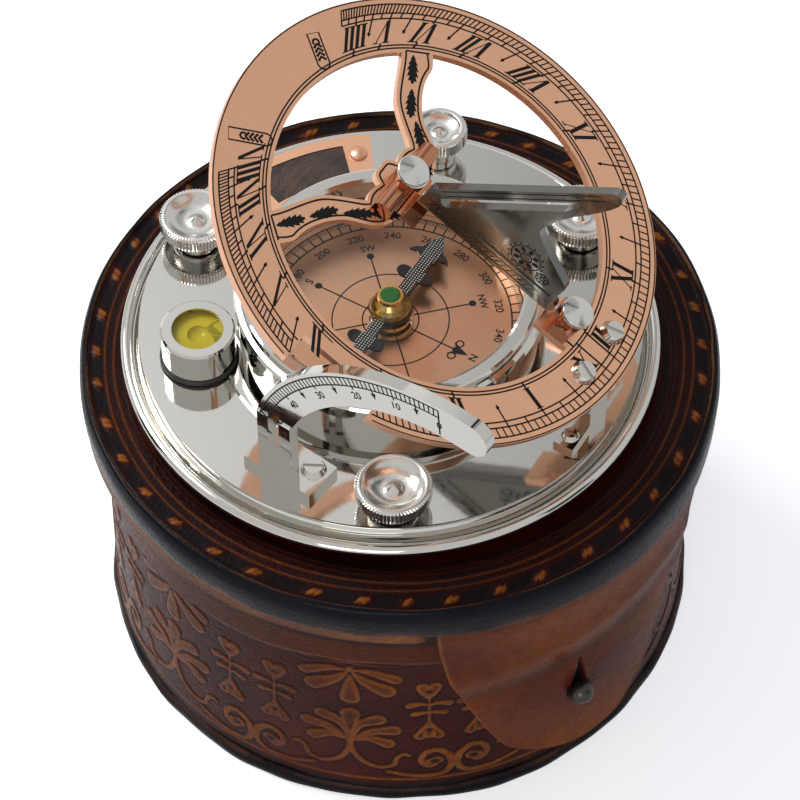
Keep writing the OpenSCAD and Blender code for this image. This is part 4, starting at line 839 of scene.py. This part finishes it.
leveller = knob_profile(6.0, 2.8, 8.75, 4.0, 2.2, 96.5)
for name, a in (("south", 180.0), ("northwest", 60.0), ("northeast", -60.0)):
    knurled_knob(name + "_knurled_knob", name + "_leveller_knob", leveller, (LEVELLER_AT, a + LEVELLER_TURN),
                 name + "_screw", 66, 0.34, 8.3)
knurled_knob("clamp_knurled_knob", "clamp_knob", knob_profile(4.25, 4.7, 6.85, 4.2, 2.0, 96.3),
             CLAMP_AT, "clamp_turner", 52, 0.32, 6.5)
print("knobs turned")

# %% [markdown]
# ## Cone heads of the gnomon screws
# The two clamping screws of the gnomon have low cones for heads, turned bright. Their height comes
# from the solids themselves, carried back to the flat drawing of the ring.

# %% Cones on the screw heads
CONE_R = np.array([3.75, 3.7, 3.45, 3.0, 2.2, 1.4, 0.7, 0.25])[:, None]
CONE_Z = np.array([0.0, 0.12, 0.2, 0.36, 0.62, 0.86, 1.06, 1.14])[:, None]
rel = mesh_points(NODES["gnomon_clamp_screws"].data) * 1000 - INST - [HINGE_AT, 0, HINGE_Z]
flat_x, flat_y = rel[:, 0] * TILT_C - rel[:, 2] * TILT_S + HINGE_REACH, rel[:, 1]
flat_z = rel[:, 0] * TILT_S + rel[:, 2] * TILT_C - HINGE_DROP
for name, x in (("south", -11.1), ("north", 36.6)):
    near = np.abs(flat_x - x) < 3.9
    top = flat_z[near].max()
    head = near & (flat_z > top - 0.3)
    cx, cy = ((v[head].min() + v[head].max()) / 2 for v in (flat_x, flat_y))
    a = np.radians(np.arange(0, 360, 5.0))
    rings = on_ring(round_points(CONE_R, a, top + 0.01 + CONE_Z) + [cx, cy, 0])
    dress(capped_rings("cone_head_" + name, rings), turned_nickel, "ring")
    print(name, "cone head at", round(float(cx), 2), round(float(cy), 2), "top", round(float(top), 2))

# %% [markdown]
# ## Leather skins
# The soft goods are grids of points wrapped round the case: one for the tooled wall in two halves,
# one for the lid with its lip, one each for the binding, the flap and the edge along the foot.
# Two attributes go with them: worn is the tan of tooling and rubbed edges, dark is burnt or inked,
# and dark also carries painted shade under the lid's lip, under the belt and towards the foot.
# Nothing that is cut and sewn by hand is quite even, so a slow closed wave goes into most sizes.

# %% Grids with worn and dark, soft steps and waves


def step_up(lo, hi, x):
    """0 below lo, 1 above hi, with a soft S between them; it falls where lo is the larger."""
    t = np.clip((x - lo) / (hi - lo), 0, 1)
    return t * t * (3 - 2 * t)


def bell(x, width):
    """A soft hump, 1 where x is 0."""
    return np.exp(-(x / width) ** 2)


def hill(a_deg, at, width):
    """A bell round one direction of the case."""
    return bell((a_deg - at + 180) % 360 - 180, width)


def wobble(a, seed, waves=(3, 5, 8, 13, 21)):
    """A closed wavy line round the case: sines of whole numbers of waves, mixed, about -1 to 1."""
    return sum(math.sqrt(waves[0] / k) * np.sin(k * a + seed * 1.7 + k * k * 0.9) for k in waves) / 2.2


def leather_piece(name, points, worn, dark, body, slot, material=None, around=False, tube=False):
    """A grid (rows x columns) as one smooth sheet; around closes its columns, tube its rows too."""
    o = mesh_piece(name, points, grid_faces(*points.shape[:2], around, tube))
    for key, values in (("worn", worn), ("dark", dark)):
        attribute = o.data.attributes.new(key, "FLOAT", "POINT")
        values = np.broadcast_to(values, points.shape[:2])
        attribute.data.foreach_set("value", values.astype(np.float32).ravel())
    return dress(o, material or FINISH[slot], body)


waves = wobble(np.linspace(0, 6.28, 500), 1)
print("wobble range", round(float(waves.min()), 2), round(float(waves.max()), 2))

# %% [markdown]
# ## Tooling of the wall
# The ornament repeats nine times round: a hanging and a rising palmette, scrolls that end in hooks,
# two volutes and a spray with a heart flower, leaves and a bell. Each form is a stroke, which is a
# curve with a radius along it. The distance to the stroke gives a tan outline, a lighter filling
# and a thin dark line outside. Half a unit is drawn and mirrored. A stroke is written as its radii
# at the start and the end, the power by which it swells, and its points.

# %% Strokes of the ornament
UNITS, WALL_LOW, WALL_TOP = 9, 1.0, 73.2
UNIT_W = 2 * math.pi * 70.7 / UNITS
UNIT_AT, WALL_R, TAPER, BELT_Z, BELT_IN_SHADE = math.radians(-68.4), 71.6, 40.0, 56.6, -125


def bend(p, n=22):
    """Points along a smooth curve through p (Catmull-Rom), n of them for each span."""
    p = np.asarray(p, float)
    q = np.vstack([2 * p[0] - p[1], p, 2 * p[-1] - p[-2]])
    t = np.linspace(0, 1, n)[:, None]
    return np.vstack([
        0.5 * (2 * b + (c - a) * t + (2 * a - 5 * b + 4 * c - d) * t ** 2 + (3 * b - a - 3 * c + d) * t ** 3)
        for a, b, c, d in zip(q[:-3], q[1:-2], q[2:-1], q[3:])])


def stroke(r0, r1, power, *p):
    """A curve and its radii along it."""
    c = bend(p)
    return c, r0 + (r1 - r0) * np.linspace(0, 1, len(c)) ** power


VOLUTE = [(19.4 + (4.3 - 0.47 * k) * math.cos(k * 0.785 + 0.35),
           15.8 + (5.3 - 0.55 * k) * math.sin(k * 0.785 + 0.35)) for k in range(8)]
FILLED = [stroke(*row) for row in (
    (0.25, 1.7, 0.8, (0.6, 53.4), (5.4, 53.0), (10.6, 50.6)),
    (0.25, 2.3, 0.8, (0.5, 52.6), (3.6, 49.2), (8.6, 45.8)),
    (0.35, 2.4, 0.8, (0, 51.2), (0, 47), (0, 42.2)), (0.8, 0.8, 1, (0, 53.6), (0, 53.9)),
    (0.35, 2.4, 0.8, (0, 26.6), (0, 31), (0, 35.4)), (0.3, 2.0, 0.8, (0.5, 25.8), (2.2, 31.2), (6.6, 33.8)),
    (0.3, 1.9, 0.8, (0.9, 25.2), (5, 28.4), (10.2, 29.5)),
    (0.3, 1.8, 0.8, (1.0, 24.6), (5, 25.6), (8.8, 23.8)),
    (0.4, 1.6, 1, (18.5, 42.4), (17.7, 44.4), (17.0, 47.0)),
    (0.4, 1.6, 1, (18.5, 42.4), (19.3, 44.4), (20.0, 47.0)),
    (0.4, 1.0, 1, (18.6, 39.6), (16.4, 40.2), (13.9, 39.7)),
    (0.4, 1.0, 1, (18.6, 39.6), (20.8, 40.2), (23.3, 39.7)),
    (0.4, 0.9, 1, (18.6, 36.4), (17, 36.6), (15.0, 36.0)),
    (0.4, 0.9, 1, (18.6, 36.4), (20, 36.6), (22.2, 36.0)),
    (0.5, 1.5, 1, (18.6, 32.6), (17.8, 30.0), (16.4, 26.8)),
    (0.5, 1.5, 1, (18.6, 32.6), (19.4, 30.0), (20.8, 26.8)),
    (0.5, 1.6, 1, (18.6, 31.6), (18.6, 27.4)), (1.0, 1.5, 1, (18.4, 15.4), (20.6, 15.8)))]
LINES = [stroke(*row) for row in (
    (0.8, 0.45, 1, (0, 25.2), (0.2, 21.2), (2.4, 16.2), (6.3, 13.6), (10.0, 14.4), (11.0, 17.6), (12.7, 19.2),
     (14.0, 18.4)),
    (0.95, 0.5, 1, *VOLUTE), (0.95, 0.6, 1, VOLUTE[0], (24.0, 13.4), (21.6, 9.9), (15.6, 9.6), (9.0, 11.6)),
    (0.3, 0.3, 1, (18.6, 42.2), (18.6, 33)), (0.3, 0.12, 1, (0, 56.2), (12, 55.8)))]
DOTS = [((18.5, 45.2), 0.75), ((18.6, 29.4), 0.75), ((19.9, 15.6), 0.9)]


def tooling(u, z):
    """Worn, dark and height of the ornament at points of half a unit."""
    worn, dark, high = np.zeros_like(u), np.zeros_like(u), np.zeros_like(u)
    for filled, shapes in ((True, FILLED), (False, LINES)):
        for c, r in shapes:
            d = np.min(np.hypot(u[..., None] - c[:, 0], z[..., None] - c[:, 1]) - r, -1)
            inside = step_up(0.22, -0.12, d)
            rim = inside * (step_up(-1.05, -0.6, d) if filled else 1)
            core = step_up(-1.9, -1.2, d) if filled else 1
            worn = worn * (1 - inside) + inside * (0.22 + 0.2 * core + 0.5 * rim)
            outline = step_up(0.05, 0.3, d) * step_up(0.85, 0.4, d) * 0.85 * (1 - step_up(0.3, 0.8, worn))
            dark = np.maximum(dark * (1 - inside), outline)
            high = np.maximum(high, inside)
    for (x, y), r in DOTS:
        spot = step_up(r + 0.3, r - 0.3, np.hypot(u - x, z - y))
        dark, worn = np.maximum(dark, spot * 0.8), worn * (1 - spot)
    worn = np.maximum(worn, step_up(0.75, 0.35, np.abs(z - 8.0)) * 0.75)
    # Darker towards the foot: partly the dark foot edge carried up the wall, partly painted shade near the
    # floor.
    dark = np.maximum(dark, step_up(7.4, 4.6, z) * 0.95)
    return worn, dark, high - 0.4 * (dark > 0.4) * (z > 8)


print(len(FILLED), "filled strokes,", len(LINES), "lines")

# %% [markdown]
# ### The wall
# The ornament is worked out for one unit and repeated. Over it runs a smooth belt whose lower edge
# sinks towards the left, with a painted shadow under it; its top is darkened with painted shade under the
# lid's lip.

# %% The two halves of the wall
UNIT_COLS, rows = 134, 152
cols = UNIT_COLS * UNITS
az = (np.arange(cols) + 0.5) / cols * 2 * np.pi
heights = np.concatenate([np.linspace(WALL_LOW, WALL_TOP, rows), [WALL_TOP + 0.35]])
off = (az[:UNIT_COLS] - UNIT_AT + np.pi / UNITS) % (2 * np.pi / UNITS) - np.pi / UNITS
unit_maps = tooling(*np.meshgrid(np.abs(off) / (2 * np.pi) * UNITS * UNIT_W, heights))
tan, ink, relief = (np.tile(m, (1, UNITS)) for m in unit_maps)
a, z = np.meshgrid(az, heights)
deg = np.degrees(a)
belt_z = BELT_Z - 4.0 * hill(deg, BELT_IN_SHADE, 34) - 3.0 * hill(deg, 60, 60) + 0.5 * wobble(a, 2)
belt = step_up(-0.35, 0.35, z - belt_z)
belt_rub = 0.5 * bell(z - belt_z - 0.1, 0.4) * hill(deg, -66, 20)
worn = tan * (1 - belt) * (0.72 + 0.28 * wobble(a, 5)) + belt * 0.16 + belt_rub
shadow = bell(z - belt_z + 0.5, 0.55) * (0.35 + 0.65 * hill(deg, BELT_IN_SHADE, 50))
dark = np.maximum(ink * (1 - belt), shadow)
# Painted shade: the top of the wall, under the lid's lip, is darkened.
dark = np.maximum(dark, 0.9 * step_up(62.8, 65.6, z))
wall_r = WALL_R - z / TAPER + 0.32 + 0.16 * wobble(a + z / 90, 1, (2, 3, 5, 7))
wall_r = wall_r + 0.24 * relief * (1 - belt) + 0.22 * belt
wall_r[-1] -= 1.2
points = round_points(wall_r, a, z)
for name, first in (("tooled_wall_front", cols // 2), ("tooled_wall_rear", 0)):
    k = np.arange(first, first + cols // 2 + 1) % cols
    leather_piece(name, points[:, k], worn[:, k], dark[:, k], "case", "tooled_leather")
print("wall skins:", 2 * (cols // 2) * rows, "quads")

# %% [markdown]
# ## Lid, lip and lacing
# The lid's leather runs from under the plate out to the edge and down to a lip a little below the
# solid lid. Fine lines are pressed round its top, and a lace shows as small lumps every nine
# degrees. The outer strip is rubbed to a pebbled tan with dark slits between the stitches. The lid
# bulges towards the front right, and lies flat under the flap.

# %% Lid skin
FLAP_DEG, BULGE_DEG, RUB_DEG = -23.5, -38, -66
TOP_Z, EDGE_Z, LIP_Z, SLIT_Z = 85.2, 85.0, 72.3, 77.2
TOP_IN_R, TOP_EDGE_R, SIDE_R, LACE_R = 62.4, 74.3, 74.76, 71.4
LACE_STEP, SLIT_STEP, STITCH_R = 9.0, 8.5, 71.5
PRESSED = ((64.2, 0.22, 0.30), (65.3, 0.2, 0.25), (67.3, 0.3, 0.55), (69.5, 0.28, 0.55))
cols = 1080
az = (np.arange(cols) / cols * 2 * np.pi)[None]
deg = np.degrees(az)
bulge = hill(deg, BULGE_DEG, 52)
free = 1 - step_up(33.5, 30.0, np.abs((deg - FLAP_DEG + 180) % 360 - 180))

out = np.concatenate([[0.0], np.linspace(0.002, 1, 40)])[:, None]
top_r = TOP_IN_R + (TOP_EDGE_R + 1.5 * bulge - TOP_IN_R) * out
lace_r = LACE_R + 1.4 * bulge
along = ((deg / LACE_STEP + 0.22 * wobble(az, 4)) % 1.0 - 0.5) * LACE_STEP * math.radians(1) * STITCH_R
ragged = 0.25 * np.sin(deg * 4.3 + top_r * 2.1) + 0.2 * np.sin(deg * 9.7 - top_r * 3.3)
lump = bell(along, 1.9) * bell(top_r - lace_r + 0.25 * along, 1.15) * (1 + ragged)
groove = step_up(1.9, 1.2, np.abs(top_r - lace_r + 0.5 * wobble(az, 6, (17, 29, 43))))
rings = sum(deep * bell(top_r - r - 0.12 * wobble(az, r), w) for r, w, deep in PRESSED)
top_z = TOP_Z + 0.42 * lump + 0.1 * rings + 0.25 * step_up(1.0, 0.0, np.abs(top_r - lace_r - 2.0))
top_worn = np.clip(1.2 * step_up(0.35, 0.8, lump) + rings, 0, 1)
top_dark = np.clip(0.68 + 0.3 * groove - 1.3 * lump - 0.9 * rings, 0, 1)

down = np.linspace(0, 1, 34)[:, None]
lip_z = LIP_Z + 0.45 * wobble(az, 3)
side_z = EDGE_Z + (lip_z - EDGE_Z) * down
side_r = SIDE_R + 1.2 * bulge * free * step_up(0, 0.3, down) * step_up(1.15, 0.5, down)
side_r = side_r + free * step_up(0.1, 0.6, down) * (0.35 + 0.18 * wobble(az, 7))
scuff = free * step_up(80.2, 78.6, side_z) * step_up(-0.2, 0.5, side_z - lip_z)
side_worn = np.clip(scuff * (0.45 + 0.3 * wobble(az, 8) + 0.45 * hill(deg, RUB_DEG, 16)), 0, 1)
slit = bell(((deg / SLIT_STEP + 0.2 * wobble(az, 9)) % 1.0 - 0.5) * 10.0, 2.6) * bell(side_z - SLIT_Z, 0.7)
slit = 0.9 * slit * step_up(0.1, 0.5, hill(deg, 10, 40))
# The bottom of the lid's side is darkened: painted shade in the gap under the lip.
side_dark = np.maximum(slit, 0.95 * step_up(1.0, 0.3, side_z - lip_z))

lip_r = np.vstack([side_r[-1:] + inwards for inwards in (-0.35, -1.0, -1.1)])
lip_h = np.vstack([lip_z + up for up in (-0.25, -0.1, 1.2)])
grid_r, grid_z = np.vstack([top_r, side_r, np.maximum(lip_r, 73.9)]), np.vstack([top_z, side_z, lip_h])
# The lip's own rows are fully dark: painted shade on the underside of the lip.
lip = np.ones((3, cols))
worn, dark = np.vstack([top_worn, side_worn, 0 * lip]), np.vstack([top_dark, side_dark, lip])
leather_piece("lid_leather", round_points(grid_r, az, grid_z)[::-1], worn[::-1], dark[::-1], "lid",
              "tooled_leather", around=True)
print("lid skin rows", len(grid_r))

# %% [markdown]
# ## Binding and foot edge
# Both are closed tubes of black glazed leather whose outline wanders a little, as hand-cut strips
# do. The binding is rubbed to a thin tan line along its inner edge.

# %% Binding and foot edge tubes
BINDING_LOW, BINDING_IN, BINDING_OUT = 77.3, 73.5, 75.35
cols = 900
az = np.arange(cols) / cols * 2 * np.pi
deg = np.degrees(az)


def black_tube(name, stands_for, outline, rubbed, body, turned_in=False):
    """A closed tube: outline has radius and height by row, rubbed has rows, strength, evenness and waves."""
    grid = np.stack([round_points(r, az, z) for r, z in outline])
    worn = np.zeros(grid.shape[:2])
    for first, last, strength, even, seed, waves in rubbed:
        worn[first:last] = strength * (even + (1 - even) * wobble(az, seed, waves))
    if turned_in:
        grid, worn = grid[::-1], worn[::-1]
    o = leather_piece(name, grid, worn, 0, body, "black_leather", around=True, tube=True)
    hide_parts(stands_for)


bulge = hill(deg, BULGE_DEG, 52) + 0.12 * wobble(az, 11)
low = BINDING_LOW - 2.3 * hill(deg, 0, 42) + 0.55 * wobble(az, 12, (5, 9, 14, 23, 37))
inner = BINDING_IN + 1.7 * bulge + 0.22 * wobble(az, 13, (7, 11, 19, 31, 41))
outer = BINDING_OUT + 1.9 * bulge + 0.14 * wobble(az, 14)
black_tube("laced_binding", "lid_binding", [
    (inner + 0.1, 84.9), (inner, 85.75), (inner + 0.35, 86.15), ((inner * 2 + outer) / 3, 86.3),
    ((inner + outer * 2) / 3, 86.0), (outer - 0.3, 85.3), (outer + 0.15, 84.2), (outer + 0.3, 82.6),
    (outer + 0.25, 80.8), (outer + 0.15, low + 1.4), (outer + 0.05, low + 0.5), (outer - 0.25, low),
    (outer - 0.6, low + 0.2), (outer - 0.75, low + 1.2), (np.minimum(outer - 0.8, 75.4), 82.0)],
    [(1, 3, 0.75, 0.6, 15, (13, 21, 34)), (9, 12, 0.25, 0.5, 16, (13, 21, 34))], "lid", turned_in=True)

swell = 0.35 * wobble(az, 21, (6, 9, 14, 22, 35))
tall = 0.55 * wobble(az, 22, (7, 12, 18, 27, 40))
black_tube("foot_edge_strip", "case_bottom_edge", [
    (71.0, 0.05), (72.3 + swell * 0.5, 0.0), (72.75 + swell, 0.5), (72.95 + swell, 1.6),
    (72.8 + swell, 2.8 + tall * 0.6), (72.4 + swell * 0.6, 3.7 + tall), (71.9, 4.2 + tall), (71.2, 4.0)],
    [(5, 7, 0.3, 0.5, 23, (9, 17, 29))], "case")
print("binding and foot edge made")

# %% [markdown]
# ## Closing flap
# A tongue of smooth orange-brown leather with a pale cut edge, a soft fold across it and a keyhole
# slit that grips the dark ball. Its outline leans a little to one side, as the real one does: a
# table gives the directions of its left and right edge at some heights.

# %% Flap
FLAP_AT, FLAP_R, FLAP_LOW, FLAP_TOP = math.radians(FLAP_DEG), 75.5, 8.2, 80.0
KEY_DEG, KEY_Z, KEY_R, KEY_HALF, KEY_H, THICKNESS = -24.5, 33.0, 3.0, 2.3, 13.5, 1.75
OUTLINE = [(-20.0, -19.4, 8.2), (-28.5, -12.0, 10.4), (-35.5, -7.5, 15.6), (-40.3, -4.5, 22.0),
           (-46.3, -0.5, 40.0), (-49.8, 2.5, 52.2), (-51.9, 4.6, 65.5), (-52.6, 5.4, 73.9),
           (-53.0, 5.6, FLAP_TOP)]
rows, cols = 170, 190
edges = bend(OUTLINE, rows)
edges = edges[np.linspace(0, len(edges) - 1, rows).astype(int)]
y_left, y_right = (FLAP_R * np.sin(np.radians(edges[:, k:k + 1]) - FLAP_AT) for k in (0, 1))
even = np.linspace(-1, 1, cols)
share = np.sin(even * np.pi / 2) * 0.35 + even * 0.65
y = y_left + (y_right - y_left) * (share[None] + 1) / 2
z = np.broadcast_to(edges[:, 2:], y.shape)
slope = 0.12 * y
base_r = 74.6 - 1.6 * np.sin(np.clip((74 - z) * 180 / 66, 0, 180) * np.pi / 180) - 1.7 * step_up(40, 10, z)
fold = 0.7 * bell(z - 58 - slope, 5.0) - 0.25 * bell(z - 49 - slope, 4.0)
from_edge = np.minimum(np.minimum(y - y_left, y_right - y), np.maximum(z - FLAP_LOW, 0) * 1.6 + 0.2)
thick = THICKNESS * step_up(-0.15, 0.55, from_edge / 1.6 + 0.1)

key_y, key_z = y - FLAP_R * math.sin(math.radians(KEY_DEG - FLAP_DEG)), z - KEY_Z
slit_half = KEY_HALF * np.clip(1 - key_z / KEY_H, 0.02, 1)
slit = np.maximum(np.abs(key_y) - slit_half, np.maximum(-key_z, key_z - KEY_H))
cut = step_up(0.25, -0.3, np.minimum(np.hypot(key_y, key_z) - KEY_R, slit))
outer_r = base_r + thick + 0.12 + fold - 1.35 * cut + 0.06 * np.sin(y * 0.5 + z * 0.2)
ang = FLAP_AT + np.arcsin(y / FLAP_R)

cut_edge = 0.75 * step_up(0.9, 0.2, from_edge) * (y < 6)
worn = 0.26 + 0.24 * np.sin(z * 0.11 + 0.6) * np.cos(y * 0.07) + cut_edge + 0.15 * step_up(20, 8, z)
dark = np.maximum(cut, 0.8 * step_up(3.2, 0.0, from_edge) * step_up(-2, 12, y))
# Darker along the hollow of the fold and towards the top, where the flap runs under the binding; the next
# line also darkens a ring round the keyhole a little.
fold_and_top_darkening = 0.35 * bell(z - 50 - slope, 3.4) + 0.22 * step_up(70, 79, z)
dark = np.maximum(dark, fold_and_top_darkening + 0.16 * step_up(1.0, 0.4, np.hypot(key_y, key_z - 3) / 9))
front = round_points(outer_r, ang, z)
rear = round_points(base_r + 0.02 - 0.1 * cut, ang, z)
sheet = np.concatenate([front, rear[:, ::-1]], 1)
worn, dark = np.concatenate([worn, 0.3 + 0 * worn], 1), np.concatenate([dark, 0.5 + 0 * dark], 1)
flap = leather_piece("flap_leather", sheet, np.clip(worn, 0, 1), np.clip(dark, 0, 1), "lid", "smooth_leather",
                     around=True)
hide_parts("closing_flap")
print("flap points", sheet.shape[0] * sheet.shape[1])

# %% [markdown]
# ## Plaque
# The plaque on the plate is copper with a sunk, blackened and hammered field left bare.

# %% Plaque field
FIELD_R, FIELD_DEG, FIELD_Z = (44.8, 55.5), (129.2, 161.8), 95.66
r, a = np.meshgrid(np.linspace(*FIELD_R, 60), np.radians(np.linspace(*FIELD_DEG, 190)), indexing="ij")
pitted = np.sin(r * 5.1 + 3 * np.sin(a * 31)) * np.sin(a * 173 + 2 * np.sin(r * 1.3)) * 0.5
pitted = pitted + np.sin(r * 2.3 + a * 67) * 0.3
field = round_points(r, a, FIELD_Z + 0.07 * pitted) + INST
leather_piece("plaque_field", field, np.clip(pitted * 0.4, 0, 1), 0, "instrument", "blackened_steel", etched)
print("plaque field laid")

# %% [markdown]
# ## Finish
# The view layer is brought up to date.

# %% The end
bpy.context.view_layer.update()
